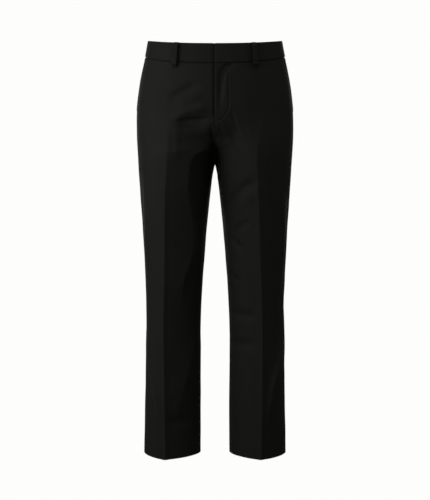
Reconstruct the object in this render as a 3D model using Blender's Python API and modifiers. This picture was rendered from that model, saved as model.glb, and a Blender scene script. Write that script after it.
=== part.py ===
"""Softshell trousers, hollow and in the form in which they are worn.

Metres, +Z up, +X the wearer's left, -Y the front. The origin is at the middle of the waistband, where the wearer
holds the trousers up. Heights in the tables are measured up from the hem's side edge.
"""

import functools
import math

import bmesh
import bpy
from mathutils import Vector

NAME = "softshell_trousers"

# Heights above the hem's side edge.
CROTCH = 0.735
FLY_BOTTOM = 0.826
POCKET_BOTTOM = 0.862
WAIST_SEAM = 1.0075
WAIST_TOP = 1.0480
HOLD = 1.0265

# Cloth.
CLOTH = 0.0015
BAND_CLOTH = 0.0024
LOOP_CLOTH = 0.0016
GAP = 0.0003

# The sections of one half, bottom to top. outer and inner are the half widths of the outline, crease is where the
# pressed crease lies across, twist is how far the leg's turn carries the crease to the wearer's right, front and back
# are the depths at the creases (on the hip, at the centre), middle is the depth of the widest point, outseam is the
# angle from the widest point forward to the outseam, and press is how pointed the crease is.
COLUMNS = ("height", "outer", "inner", "crease", "twist", "front", "back", "middle", "outseam", "press")
SECTIONS = (
    (0.000, 0.1806, 0.0366, 0.1186, 0.0050, -0.0690, 0.0750, 0.003, 3, 0.26),
    (0.130, 0.1782, 0.0361, 0.1205, 0.0050, -0.0690, 0.0770, 0.003, 4, 0.26),
    (0.320, 0.1748, 0.0366, 0.1220, 0.0060, -0.0700, 0.0765, 0.002, 8, 0.24),
    (0.440, 0.1771, 0.0310, 0.1195, 0.0065, -0.0760, 0.0790, 0.001, 12, 0.22),
    (0.560, 0.1834, 0.0222, 0.1165, 0.0078, -0.0890, 0.0940, 0.002, 18, 0.19),
    (0.660, 0.1908, 0.0116, 0.1135, 0.0084, -0.1020, 0.1090, 0.004, 22, 0.15),
    (0.735, 0.1960, 0.0001, 0.1090, 0.0080, -0.1110, 0.1220, 0.005, 21, 0.10),
    (0.770, 0.1980, -0.0190, 0.1075, 0.0070, -0.1150, 0.1290, 0.006, 17, 0.07),
    (0.800, 0.1991, -0.0560, 0.1070, 0.0050, -0.1170, 0.1340, 0.006, 12, 0.04),
    (0.865, 0.1990, -0.2000, 0.1060, 0.0000, -0.1190, 0.1400, 0.006, 4, 0.00),
    (0.935, 0.1912, -0.3000, 0.1040, 0.0000, -0.1185, 0.1350, 0.004, 0, 0.00),
    (1.0055, 0.1782, -0.3000, 0.1010, 0.0000, -0.1175, 0.1200, 0.001, 0, 0.00),
    (1.0480, 0.1703, -0.3000, 0.0990, 0.0000, -0.1170, 0.1170, 0.000, 0, 0.00),
)

# How the legs' rings become the ring round the hips: the depth at which the thighs meet, how closely a ring's points
# keep to their legs where the ring is cut off at the middle, how much further the seat reaches than the front and
# over what depth that grows, the height over which the two kinds of ring blend, and how round the hips are.
CROTCH_DEPTH = 0.005
GATHER = 3.0
GATHER_LIMIT = 0.8
BACK_REACH = 0.5
BACK_REACH_GROWS = 0.06
THIGHS_JOIN = 0.130
HIP_ROUND = 0.65
HIP_CREASE = 0.65

# The waist's edges rise from front to back, the band's lower edge sags at centre front, and the hem dips at its
# creases.
WAIST_SLOPE = 0.025
WAIST_DIP = 0.008
SEAM_DIP = 0.0063
WAIST_DEPTH = 0.117
SLOPE_STARTS = 0.860
HEM_DIP = 0.004
HEM_DIP_ENDS = 0.120

# Folds, drawn on the front and on the back as seen from there: where each starts and ends across and up, how far it
# bows to the right of its own direction, its half width, and its height (a trough's is negative). A fold fades over
# this share of its length at each end, and it dies out in front of the seams, which stay still.
FOLD_FADES = 0.35
SEAM_STILL = 0.02
SEAM_FADES = 0.12
FOLD_COLUMNS = ("x0", "z0", "x1", "z1", "bow", "width", "height")
FRONT_FOLDS = (
    (-0.018, 0.838, -0.098, 0.822, 0.008, 0.011, -0.0026),
    (-0.098, 0.822, -0.100, 0.690, -0.006, 0.014, -0.0020),
    (-0.046, 0.815, -0.074, 0.640, 0.010, 0.016, 0.0030),
    (-0.066, 0.720, -0.078, 0.390, 0.020, 0.015, 0.0032),
    (0.040, 0.850, 0.070, 0.740, 0.006, 0.013, -0.0018),
    (0.034, 0.612, 0.104, 0.690, -0.010, 0.012, -0.0026),
    (0.038, 0.590, 0.098, 0.650, -0.008, 0.015, 0.0020),
    (0.036, 0.556, 0.066, 0.528, 0.000, 0.012, -0.0018),
    (-0.122, 0.886, -0.046, 0.908, 0.004, 0.016, -0.0010),
    (-0.166, 0.290, -0.136, 0.080, 0.010, 0.016, 0.0028),
    (-0.150, 0.300, -0.122, 0.150, 0.006, 0.014, -0.0014),
    (0.168, 0.300, 0.130, 0.080, -0.012, 0.016, 0.0030),
    (0.150, 0.310, 0.120, 0.170, -0.006, 0.014, -0.0014),
)
BACK_FOLDS = (
    (0.020, 0.800, 0.150, 0.700, -0.012, 0.018, -0.0022),
    (-0.020, 0.800, -0.148, 0.706, 0.012, 0.018, -0.0020),
    (0.030, 0.750, 0.140, 0.640, -0.010, 0.020, 0.0016),
    (-0.028, 0.754, -0.136, 0.650, 0.010, 0.020, 0.0016),
    (0.050, 0.430, 0.160, 0.470, 0.006, 0.014, -0.0026),
    (-0.048, 0.436, -0.158, 0.466, -0.006, 0.014, -0.0024),
    (0.046, 0.380, 0.150, 0.412, 0.006, 0.014, -0.0018),
    (-0.050, 0.372, -0.152, 0.410, -0.006, 0.014, -0.0018),
    (0.166, 0.300, 0.120, 0.110, -0.010, 0.018, 0.0026),
    (-0.164, 0.296, -0.124, 0.100, 0.010, 0.018, 0.0026),
)

# Grids of the panels: half the columns lie on each side of the crease.
FRONT_COLUMNS = 18
BACK_COLUMNS = 14
LEG_ROWS = 22
HIP_ROWS = 14
ROWS_GATHER = 1.35

# Pocket mouth, measured forward from the outseam at the waist, and the facing behind it.
POCKET_MOUTH = 0.030
FACING_UNDER = 0.022
FACING_SINK = 0.0006
FACING_BELOW = 0.020
SIDE_ARC = 0.150

# Fly and the waistband's lap.
LAP_DIP = 0.0014
LAP_DIP_WIDTH = 0.014
LAP_STARTS = 0.020
UNDERLAP_WIDTH = 0.034
UNDERLAP_BEHIND = 0.013
UNDERLAP_BELOW = 0.004
UNDERLAP_ROUND = 0.25
BAND_PROUD = 0.0008
CENTRE_ARC = 0.125

# Belt loops: how far round each one lies, 2 at centre front, 0 at the side and -2 at centre back.
LOOP_WIDTH = 0.012
LOOP_BELOW = 0.0165
LOOP_STAND = 0.0040
LOOP_END = 0.009
LOOP_RISE = 0.004
LOOP_TURNS = {"front": 1.06, "side": -0.42, "back": -2.0}

# The steps over which the cloth's slant and a turn's length are measured.
TURN_STEP = 0.01
HEIGHT_STEP = 0.001

BLACK_CLOTH = (0.0165, 0.0165, 0.0137, 1.0)
BLACK_BAND = (0.0155, 0.0155, 0.0129, 1.0)


def ease(amount):
    """0 to 1 with soft ends."""
    amount = min(max(amount, 0.0), 1.0)
    return amount * amount * (3.0 - 2.0 * amount)


@functools.lru_cache(maxsize=None)
def at(height, column):
    """A column of SECTIONS at this height, as a smooth curve through its rows."""
    index = COLUMNS.index(column)
    last = len(SECTIONS) - 1
    low = max((i for i in range(last) if SECTIONS[i][0] <= height), default=0)
    spot = min(max((height - SECTIONS[low][0]) / (SECTIONS[low + 1][0] - SECTIONS[low][0]), 0.0), 1.0)

    def slope(i):
        before, after = SECTIONS[max(i - 1, 0)], SECTIONS[min(i + 1, last)]
        return (after[index] - before[index]) / (after[0] - before[0])

    step = SECTIONS[low + 1][0] - SECTIONS[low][0]
    start, end = SECTIONS[low][index], SECTIONS[low + 1][index]
    rest = 1.0 - spot
    return (
        start * (1.0 + 2.0 * spot) * rest * rest
        + slope(low) * step * spot * rest * rest
        + end * (3.0 - 2.0 * spot) * spot * spot
        - slope(low + 1) * step * rest * spot * spot
    )


def leg_section(side, height, turn):
    """Across and depth on a leg's ring: turn is 0 at the widest point, 1 at a crease, 2 at the inseam.

    Above the crotch the ring would pass the garment's middle, so it ends there, and 2 is at the crotch seam.
    """
    front = turn >= 0.0
    twist = at(height, "twist") * (-side if front else side)
    crease = Vector((at(height, "crease") + twist, at(height, "front" if front else "back")))
    if abs(turn) <= 1.0:
        end = Vector((at(height, "outer"), at(height, "middle")))
        angle = math.pi / 2.0 * (1.0 - abs(turn))
    else:
        reach = at(height, "inner")
        if not front:
            reach *= 1.0 + BACK_REACH * ease(-reach / BACK_REACH_GROWS)
        end = Vector((reach, CROTCH_DEPTH))
        quarter = math.pi / 2.0
        short = quarter - math.asin(min(crease.x / (crease.x - reach), 1.0))
        gather = min(GATHER, GATHER_LIMIT * quarter / max(short, 1e-9))
        angle = quarter * (abs(turn) - 1.0) - short * (abs(turn) - 1.0) ** gather
    press = at(height, "press")
    share = (1.0 - press) * math.cos(angle) + press * (1.0 - math.sin(angle))
    return Vector((crease.x + (end.x - crease.x) * math.sin(angle), end.y + (crease.y - end.y) * share))


def hip_section(height, turn):
    """Across and depth on the ring round the hips and waist: turn is 0 at the side and 2 at the centre."""
    side_point = Vector((at(height, "outer"), at(height, "middle")))
    centre = Vector((0.0, at(height, "front" if turn >= 0.0 else "back")))
    side_handle = Vector((side_point.x, side_point.y + (centre.y - side_point.y) * HIP_ROUND))
    centre_handle = Vector((side_point.x * HIP_ROUND, centre.y))
    turn = abs(turn)
    spot = HIP_CREASE * turn if turn <= 1.0 else HIP_CREASE + (1.0 - HIP_CREASE) * (turn - 1.0)
    rest = 1.0 - spot
    return (
        side_point * rest**3
        + side_handle * (3.0 * rest * rest * spot)
        + centre_handle * (3.0 * rest * spot * spot)
        + centre * spot**3
    )


def plain_point(side, height, turn):
    """The cloth's outer face without its folds."""
    joined = ease((height - CROTCH) / THIGHS_JOIN)
    if joined <= 0.0:
        flat = leg_section(side, height, turn)
    elif joined >= 1.0:
        flat = hip_section(height, turn)
    else:
        flat = leg_section(side, height, turn).lerp(hip_section(height, turn), joined)
    if abs(turn) <= 2.0:
        flat.x = max(flat.x, GAP / 2.0)
    back_share = flat.y / WAIST_DEPTH
    sloped = ease((height - SLOPE_STARTS) / (WAIST_SEAM - SLOPE_STARTS))
    rise = sloped * (WAIST_SLOPE * back_share - WAIST_DIP * min(back_share * back_share, 1.0))
    above_seam = min(max((WAIST_TOP - height) / (WAIST_TOP - WAIST_SEAM), 0.0), 1.0)
    rise -= sloped * above_seam * SEAM_DIP * max(-back_share, 0.0) ** 2
    round_share = (flat.y / at(0.0, "front")) ** 2
    dip = HEM_DIP * min(round_share, 1.0) * (1.0 - ease(height / HEM_DIP_ENDS))
    return Vector((side * flat.x, flat.y, height + rise - dip - HOLD))


def outward(side, height, turn):
    """The direction out of the cloth."""
    low, high = max(height - HEIGHT_STEP, 0.0), min(height + HEIGHT_STEP, WAIST_TOP)
    across = plain_point(side, height, turn + TURN_STEP) - plain_point(side, height, turn - TURN_STEP)
    if abs(turn) > 2.0 - TURN_STEP and height < FLY_BOTTOM:
        inside = math.copysign(2.0 - TURN_STEP, turn)
        across = (plain_point(side, height, turn) - plain_point(side, height, inside)) * math.copysign(1.0, turn)
    up = plain_point(side, high, turn) - plain_point(side, low, turn)
    normal = across.cross(up) * -side
    if abs(turn) > 2.0 - 1e-6 and height > CROTCH:
        normal.x = 0.0
    return normal.normalized()


def fold_height(point, turn):
    """How far the folds move this point out of the cloth."""
    total = 0.0
    for fold in FRONT_FOLDS if turn >= 0.0 else BACK_FOLDS:
        row = dict(zip(FOLD_COLUMNS, fold))
        start = Vector((row["x0"], row["z0"]))
        way = Vector((row["x1"], row["z1"])) - start
        offset = Vector((point.x, point.z + HOLD)) - start
        along = offset.dot(way) / way.length_squared
        if not 0.0 < along < 1.0:
            continue
        off = (offset.x * way.y - offset.y * way.x) / way.length - row["bow"] * 4.0 * along * (1.0 - along)
        ends = ease(along / FOLD_FADES) * ease((1.0 - along) / FOLD_FADES)
        total += row["height"] * ends * math.exp(-((off / row["width"]) ** 2))
    return total


def cloth_point(side, height, turn, lift=0.0):
    """A point of the cloth's outer face with its folds, moved out by lift."""
    point = plain_point(side, height, turn)
    near_outseam = ease((abs(turn - outseam(height)) - SEAM_STILL) / SEAM_FADES)
    near_inner = ease((2.0 - abs(turn)) / SEAM_FADES)
    folds = fold_height(point, turn) * near_outseam * near_inner
    return point + outward(side, height, turn) * (lift + folds)


def outseam(height):
    """How far forward of the side the outseam lies, as a turn."""
    return at(height, "outseam") / 90.0


def panel_height(spot):
    """Height of a panel's row: the rows lie closest together at the crotch."""
    row = spot * (LEG_ROWS + HIP_ROWS)
    if row <= LEG_ROWS:
        return CROTCH * (1.0 - (1.0 - row / LEG_ROWS) ** ROWS_GATHER)
    return CROTCH + (WAIST_SEAM - CROTCH) * ((row - LEG_ROWS) / HIP_ROWS) ** ROWS_GATHER


def front_lift(side, turn, height):
    """The right front sinks a little towards the fly, so that the left front's edge stands over it."""
    if side > 0:
        return 0.0
    near_fly = ease((turn - 2.0 + LAP_DIP_WIDTH / CENTRE_ARC) / (LAP_DIP_WIDTH / CENTRE_ARC))
    return -LAP_DIP * near_fly * ease((height - FLY_BOTTOM) / LAP_STARTS)


def pocket_edge(height):
    """How far the pocket mouth lies forward of the outseam, in metres."""
    return POCKET_MOUTH * max((height - POCKET_BOTTOM) / (WAIST_SEAM - POCKET_BOTTOM), 0.0)


def cloth(name, place, columns, rows, thickness, side, colour):
    """A wall of cloth whose outer face is a grid laid on place(u, v), with its edges kept back from the seams."""
    form = bmesh.new()
    bmesh.ops.create_grid(form, x_segments=columns, y_segments=rows, size=0.5)
    for vert in form.verts:
        u, v = vert.co.x + 0.5, vert.co.y + 0.5
        point = place(u, v)
        back = Vector()
        for spot, step in ((u, Vector((1.0 / columns, 0.0))), (v, Vector((0.0, 1.0 / rows)))):
            if spot < 1e-4 or spot > 1.0 - 1e-4:
                inside = step if spot < 0.5 else -step
                back += (place(u + inside.x, v + inside.y) - point).normalized() * GAP
        vert.co = point + back
    if side > 0:
        bmesh.ops.reverse_faces(form, faces=form.faces)
    mesh = bpy.data.meshes.new(name)
    form.to_mesh(mesh)
    form.free()
    mesh.shade_smooth()
    piece = bpy.data.objects.new(name, mesh)
    wall = piece.modifiers.new("wall", "SOLIDIFY")
    wall.thickness = thickness
    wall.offset = -1.0
    mesh.materials.append(cloth_material(name, colour))
    return piece


def cloth_material(name, colour):
    material = bpy.data.materials.new(name)
    material.use_nodes = True
    shader = material.node_tree.nodes["Principled BSDF"]
    shader.inputs["Base Color"].default_value = colour
    shader.inputs["Roughness"].default_value = 0.8
    shader.inputs["Metallic"].default_value = 0.0
    return material


def front_panel(side):
    def place(u, v):
        height = panel_height(v)
        edge = outseam(height) + pocket_edge(height) / SIDE_ARC
        turn = edge + (1.0 - edge) * u * 2.0 if u <= 0.5 else u * 2.0
        return cloth_point(side, height, turn, front_lift(side, turn, height))

    return cloth(side_name("front", side), place, FRONT_COLUMNS, LEG_ROWS + HIP_ROWS, CLOTH, side, BLACK_CLOTH)


def back_panel(side):
    def place(u, v):
        height = panel_height(v)
        turn = -2.0 + u * 2.0 if u <= 0.5 else -1.0 + (outseam(height) + 1.0) * (u * 2.0 - 1.0)
        return cloth_point(side, height, turn)

    return cloth(side_name("back", side), place, BACK_COLUMNS, LEG_ROWS + HIP_ROWS, CLOTH, side, BLACK_CLOTH)


def side_pocket(side):
    """The facing behind the pocket mouth: it runs from the outseam to behind the front panel."""
    under = -(CLOTH + GAP + FACING_SINK)
    bottom = POCKET_BOTTOM - FACING_BELOW

    def place(u, v):
        height = bottom + (WAIST_SEAM - bottom) * v
        reach = pocket_edge(height) + FACING_UNDER
        turn = outseam(height) + u * reach / SIDE_ARC
        return cloth_point(side, height, turn, under)

    return cloth(side_name("side_pocket", side), place, 5, 8, CLOTH, side, BLACK_CLOTH)


def fly_underlap():
    """The fly's under layer: it starts behind the right front and lies behind the left one."""
    under = -(LAP_DIP + CLOTH + GAP)
    bottom = FLY_BOTTOM - UNDERLAP_BELOW

    def place(u, v):
        height = bottom + (WAIST_SEAM - bottom) * v
        width = UNDERLAP_WIDTH * ease(UNDERLAP_ROUND + v / UNDERLAP_ROUND)
        across = u * (UNDERLAP_BEHIND + width) - UNDERLAP_BEHIND
        return cloth_point(-1, height, 2.0 + across / CENTRE_ARC, under)

    return cloth("fly_underlap", place, 6, 8, CLOTH, -1, BLACK_CLOTH)


def band_lift(side, turn):
    """The right half of the waistband steps back at centre front and runs on behind the left half."""
    if side > 0:
        return BAND_PROUD
    step = LAP_DIP_WIDTH / CENTRE_ARC
    return BAND_PROUD - (BAND_CLOTH + 2.0 * GAP) * ease((turn - 2.0 + step) / step)


def waistband(side):
    end = 2.0 if side > 0 else 2.0 + UNDERLAP_WIDTH / CENTRE_ARC

    def place(u, v):
        height = WAIST_SEAM + (WAIST_TOP - WAIST_SEAM) * v
        turn = -2.0 + (end + 2.0) * u
        return cloth_point(side, height, turn, band_lift(side, turn))

    return cloth(side_name("waistband", side), place, 34, 2, BAND_CLOTH, side, BLACK_BAND)


def belt_loop(name, side, middle):
    """A strip from the waistband's top edge to below its seam, standing clear of it but at its two ends."""
    bottom = WAIST_SEAM - LOOP_BELOW
    length = WAIST_TOP - bottom
    step = plain_point(side, WAIST_SEAM, middle + TURN_STEP) - plain_point(side, WAIST_SEAM, middle)
    loop_turn = LOOP_WIDTH * TURN_STEP / step.length

    def place(u, v):
        height = bottom + length * v
        on_band = ease((height - WAIST_SEAM + LOOP_RISE) / LOOP_RISE)
        from_end = min(v, 1.0 - v) * length
        stand = GAP + BAND_PROUD * on_band + LOOP_STAND * ease(from_end / LOOP_END)
        return cloth_point(side, height, middle + (u - 0.5) * loop_turn, stand + LOOP_CLOTH)

    return cloth(name, place, 2, 14, LOOP_CLOTH, side, BLACK_BAND)


def side_name(name, side):
    return f"{name}_{'left' if side > 0 else 'right'}"


def clear_scene():
    for item in list(bpy.data.objects):
        bpy.data.objects.remove(item, do_unlink=True)


def main():
    clear_scene()
    pieces = [fly_underlap(), belt_loop("belt_loop_back", 1, LOOP_TURNS["back"])]
    for side in (1, -1):
        pieces += [front_panel(side), back_panel(side), side_pocket(side), waistband(side)]
        for place in ("front", "side"):
            pieces.append(belt_loop(side_name(f"belt_loop_{place}", side), side, LOOP_TURNS[place]))
    collection = bpy.data.collections.new(NAME)
    bpy.context.scene.collection.children.link(collection)
    holder = bpy.data.objects.new(NAME, None)
    collection.objects.link(holder)
    for piece in pieces:
        collection.objects.link(piece)
        piece.parent = holder


main()
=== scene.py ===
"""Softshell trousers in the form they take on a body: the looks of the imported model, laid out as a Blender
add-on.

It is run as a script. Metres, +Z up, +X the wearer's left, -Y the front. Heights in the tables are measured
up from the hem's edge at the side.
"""

import math

import bpy
import numpy as np
from bpy.props import FloatProperty, FloatVectorProperty, PointerProperty
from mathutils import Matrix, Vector, noise


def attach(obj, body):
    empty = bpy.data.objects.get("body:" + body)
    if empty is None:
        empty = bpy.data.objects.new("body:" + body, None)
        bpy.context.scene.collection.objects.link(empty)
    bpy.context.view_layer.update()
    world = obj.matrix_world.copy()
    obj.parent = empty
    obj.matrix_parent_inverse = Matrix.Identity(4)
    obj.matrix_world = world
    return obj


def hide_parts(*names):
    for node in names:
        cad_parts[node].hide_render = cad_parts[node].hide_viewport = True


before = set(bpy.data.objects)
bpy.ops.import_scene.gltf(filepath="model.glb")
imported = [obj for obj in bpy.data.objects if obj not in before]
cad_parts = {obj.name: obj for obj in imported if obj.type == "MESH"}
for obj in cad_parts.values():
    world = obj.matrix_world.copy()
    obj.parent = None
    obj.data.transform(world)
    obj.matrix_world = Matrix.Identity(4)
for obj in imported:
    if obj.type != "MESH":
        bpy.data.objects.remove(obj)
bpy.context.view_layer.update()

bl_info = {
    "name": "Softshell Trousers",
    "version": (1, 0, 0),
    "blender": (4, 5, 0),
    "location": "View3D > Sidebar > Trousers",
    "description": "Black softshell trousers in worn form, with seams, pressed creases, folds and stitching",
    "category": "Object",
}

SIDES = {"left": 1, "right": -1}

# The sections of one half, bottom to top. outer and inner are the half widths of the outline, crease is where
# the pressed crease lies across, twist is how far the leg's turn carries the crease to the wearer's right,
# front and back are the depths at the creases (on the hip, at the centre), middle is the depth of the widest
# point, outseam is the angle from the widest point forward to the outseam, and press is how pointed the
# crease is.
COLUMNS = ("height", "outer", "inner", "crease", "twist", "front", "back", "middle", "outseam", "press")
SECTIONS = np.array((
    (0.000, 0.1806, 0.0366, 0.1186, 0.0050, -0.0690, 0.0750, 0.003, 3, 0.26),
    (0.130, 0.1782, 0.0361, 0.1205, 0.0050, -0.0690, 0.0770, 0.003, 4, 0.26),
    (0.320, 0.1748, 0.0366, 0.1220, 0.0060, -0.0700, 0.0765, 0.002, 8, 0.24),
    (0.440, 0.1771, 0.0310, 0.1195, 0.0065, -0.0760, 0.0790, 0.001, 12, 0.22),
    (0.560, 0.1834, 0.0222, 0.1165, 0.0078, -0.0890, 0.0940, 0.002, 18, 0.19),
    (0.660, 0.1908, 0.0116, 0.1135, 0.0084, -0.1020, 0.1090, 0.004, 22, 0.15),
    (0.735, 0.1960, 0.0001, 0.1090, 0.0080, -0.1110, 0.1220, 0.005, 21, 0.10),
    (0.770, 0.1980, -0.0190, 0.1075, 0.0070, -0.1150, 0.1290, 0.006, 17, 0.07),
    (0.800, 0.1991, -0.0560, 0.1070, 0.0050, -0.1170, 0.1340, 0.006, 12, 0.04),
    (0.865, 0.1990, -0.2000, 0.1060, 0.0000, -0.1190, 0.1400, 0.006, 4, 0.00),
    (0.935, 0.1912, -0.3000, 0.1040, 0.0000, -0.1185, 0.1350, 0.004, 0, 0.00),
    (1.0055, 0.1782, -0.3000, 0.1010, 0.0000, -0.1175, 0.1200, 0.001, 0, 0.00),
    (1.0480, 0.1703, -0.3000, 0.0990, 0.0000, -0.1170, 0.1170, 0.000, 0, 0.00),
))

# How the legs' rings become the ring round the hips: the depth at which the thighs meet, how closely a ring's
# points keep to their legs where the ring is cut off at the middle, how much further the seat reaches than
# the front and over what depth that grows, the height over which the two kinds of ring blend, and how round
# the hips are.
CROTCH_DEPTH = 0.005
GATHER = 3.0
GATHER_LIMIT = 0.8
BACK_REACH = 0.5
BACK_REACH_GROWS = 0.06
THIGHS_JOIN = 0.130
HIP_ROUND = 0.65
HIP_CREASE = 0.65

# The waist's edges rise from front to back, the band's lower edge sags at centre front, and the hem dips at
# its creases.
WAIST_SLOPE = 0.025
WAIST_DIP = 0.008
SEAM_DIP = 0.0063
WAIST_DEPTH = 0.117
SLOPE_STARTS = 0.860
HEM_DIP = 0.004
HEM_DIP_ENDS = 0.120

# Folds, drawn on the front and on the back as seen from there: where each starts and ends across and up, how
# far it bows to the right of its own direction, how far it reaches to the left and to the right of it, and
# its height (a trough's is negative). A fold fades over this share of its length at each end.
FOLD_FADES = 0.35
FOLD_COLUMNS = ("x0", "z0", "x1", "z1", "bow", "left", "right", "height")
FRONT_FOLDS = (
    # The drag fold from the crotch across the right thigh.
    (-0.004, 0.858, -0.108, 0.840, 0.004, 0.010, 0.014, 0.0050),
    (-0.006, 0.830, -0.110, 0.822, 0.003, 0.022, 0.007, -0.0080),
    (-0.090, 0.828, -0.020, 0.800, 0.000, 0.006, 0.006, -0.0022),
    # The left thigh's folds, which fan out from the fly's foot.
    (0.022, 0.850, 0.084, 0.690, 0.000, 0.011, 0.011, -0.0034),
    (0.036, 0.862, 0.064, 0.786, 0.002, 0.006, 0.006, -0.0024),
    (0.006, 0.818, 0.034, 0.776, 0.002, 0.006, 0.006, -0.0018),
    # The left thigh's folds, which fan out from the inseam.
    (0.024, 0.604, 0.112, 0.688, -0.013, 0.012, 0.012, -0.0050),
    (0.040, 0.600, 0.112, 0.660, -0.012, 0.018, 0.018, 0.0022),
    (0.034, 0.550, 0.090, 0.590, -0.002, 0.007, 0.007, -0.0038),
    (0.030, 0.558, 0.074, 0.508, 0.000, 0.007, 0.007, -0.0032),
    (0.028, 0.464, 0.064, 0.432, 0.000, 0.007, 0.007, -0.0032),
    # The left knee's and shin's slack.
    (0.026, 0.358, 0.110, 0.350, 0.000, 0.010, 0.010, -0.0032),
    (0.026, 0.282, 0.110, 0.280, 0.000, 0.011, 0.011, -0.0030),
    # The shallow folds on the right hip, and the slack above the right hem.
    (-0.122, 0.876, -0.030, 0.918, -0.004, 0.010, 0.010, -0.0040),
    (-0.096, 0.864, -0.026, 0.888, -0.004, 0.012, 0.012, 0.0030),
    (-0.120, 0.096, -0.052, 0.082, 0.000, 0.012, 0.012, -0.0028),
)

# Ridges, long ones that wander: a row for each place on a ridge, from its top down, with its height above the
# hem, how far across it lies, how far it stands out (a groove's is negative), and how far its left and its
# right flank reach as seen from there. Between the rows it follows a smooth curve. round is how wide its
# rounded top is.
RIDGE_COLUMNS = ("height", "across", "rise", "left", "right")
FRONT_RIDGES = (
    # The dark line down to the crotch, and the hollow into which both thighs turn there.
    (0.0010, (
        (0.820, -0.0080, 0.0000, 0.004, 0.004),
        (0.806, -0.0075, -0.0030, 0.004, 0.004),
        (0.785, -0.0050, -0.0036, 0.005, 0.004),
        (0.768, -0.0030, -0.0030, 0.006, 0.004),
        (0.750, 0.0000, 0.0000, 0.006, 0.004),
    )),
    (0.0030, (
        (0.802, -0.0020, 0.0000, 0.007, 0.007),
        (0.782, -0.0010, -0.0046, 0.010, 0.009),
        (0.766, 0.0000, -0.0096, 0.012, 0.011),
        (0.750, 0.0000, -0.0112, 0.012, 0.012),
        (0.735, 0.0000, -0.0090, 0.012, 0.012),
        (0.700, 0.0000, 0.0000, 0.010, 0.010),
    )),
    # The edge of the left thigh beside the crotch.
    (0.0008, (
        (0.785, 0.0060, 0.0000, 0.008, 0.020),
        (0.765, 0.0095, 0.0030, 0.008, 0.020),
        (0.745, 0.0130, 0.0044, 0.009, 0.022),
        (0.715, 0.0170, 0.0040, 0.010, 0.024),
        (0.670, 0.0230, 0.0020, 0.010, 0.026),
        (0.630, 0.0280, 0.0000, 0.010, 0.026),
    )),
    # The right leg's crease above the knee, which bends in towards the drag fold.
    (0.0016, (
        (0.850, -0.0915, 0.0000, 0.034, 0.024),
        (0.820, -0.0925, 0.0058, 0.034, 0.024),
        (0.780, -0.0938, 0.0072, 0.034, 0.024),
        (0.755, -0.0950, 0.0060, 0.032, 0.022),
        (0.735, -0.0990, 0.0030, 0.028, 0.018),
        (0.700, -0.1100, 0.0000, 0.020, 0.012),
    )),
    # Where the right thigh turns in: the edge of its dark inner face.
    (0.0008, (
        (0.792, 0.0040, 0.0000, 0.034, 0.013),
        (0.778, -0.0110, 0.0066, 0.034, 0.013),
        (0.764, -0.0330, 0.0132, 0.032, 0.015),
        (0.748, -0.0560, 0.0148, 0.030, 0.017),
        (0.725, -0.0670, 0.0152, 0.030, 0.018),
        (0.657, -0.0710, 0.0144, 0.030, 0.017),
        (0.581, -0.0590, 0.0128, 0.030, 0.014),
        (0.505, -0.0620, 0.0122, 0.028, 0.014),
        (0.436, -0.0810, 0.0096, 0.026, 0.016),
        (0.391, -0.0820, 0.0038, 0.024, 0.014),
        (0.345, -0.0800, 0.0000, 0.020, 0.014),
    )),
    # The same lower down, on the shin.
    (0.0014, (
        (0.310, -0.0480, 0.0000, 0.024, 0.016),
        (0.266, -0.0556, 0.0034, 0.024, 0.016),
        (0.200, -0.0720, 0.0052, 0.024, 0.016),
        (0.145, -0.0860, 0.0048, 0.024, 0.016),
        (0.115, -0.0914, 0.0028, 0.022, 0.015),
        (0.085, -0.0960, 0.0000, 0.020, 0.014),
    )),
    # The left leg's crease, which fades out towards the fly's foot.
    (0.0040, (
        (0.870, 0.0770, 0.0000, 0.024, 0.026),
        (0.823, 0.0803, 0.0012, 0.024, 0.026),
        (0.766, 0.0893, 0.0018, 0.024, 0.026),
        (0.725, 0.1020, 0.0010, 0.022, 0.022),
        (0.685, 0.1050, 0.0000, 0.020, 0.020),
    )),
    # The hollow beside the right shin's edge.
    (0.0012, (
        (0.360, -0.1745, 0.0000, 0.005, 0.003),
        (0.300, -0.1715, -0.0026, 0.005, 0.003),
        (0.240, -0.1692, -0.0034, 0.005, 0.003),
        (0.180, -0.1618, -0.0034, 0.005, 0.003),
        (0.130, -0.1520, -0.0022, 0.005, 0.003),
        (0.090, -0.1440, 0.0000, 0.006, 0.003),
    )),
    # The soft groove inside the fly and the swelling beside it.
    (0.0010, (
        (0.990, 0.0540, -0.0050, 0.004, 0.005),
        (0.966, 0.0347, -0.0100, 0.004, 0.005),
        (0.947, 0.0195, -0.0110, 0.004, 0.005),
        (0.923, 0.0140, -0.0084, 0.004, 0.005),
        (0.884, 0.0130, -0.0036, 0.005, 0.005),
        (0.850, 0.0125, 0.0000, 0.006, 0.006),
    )),
    (0.0030, (
        (0.962, 0.0300, 0.0000, 0.005, 0.004),
        (0.940, 0.0270, 0.0016, 0.005, 0.004),
        (0.900, 0.0255, 0.0016, 0.005, 0.004),
        (0.860, 0.0240, 0.0000, 0.005, 0.004),
    )),
)
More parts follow.
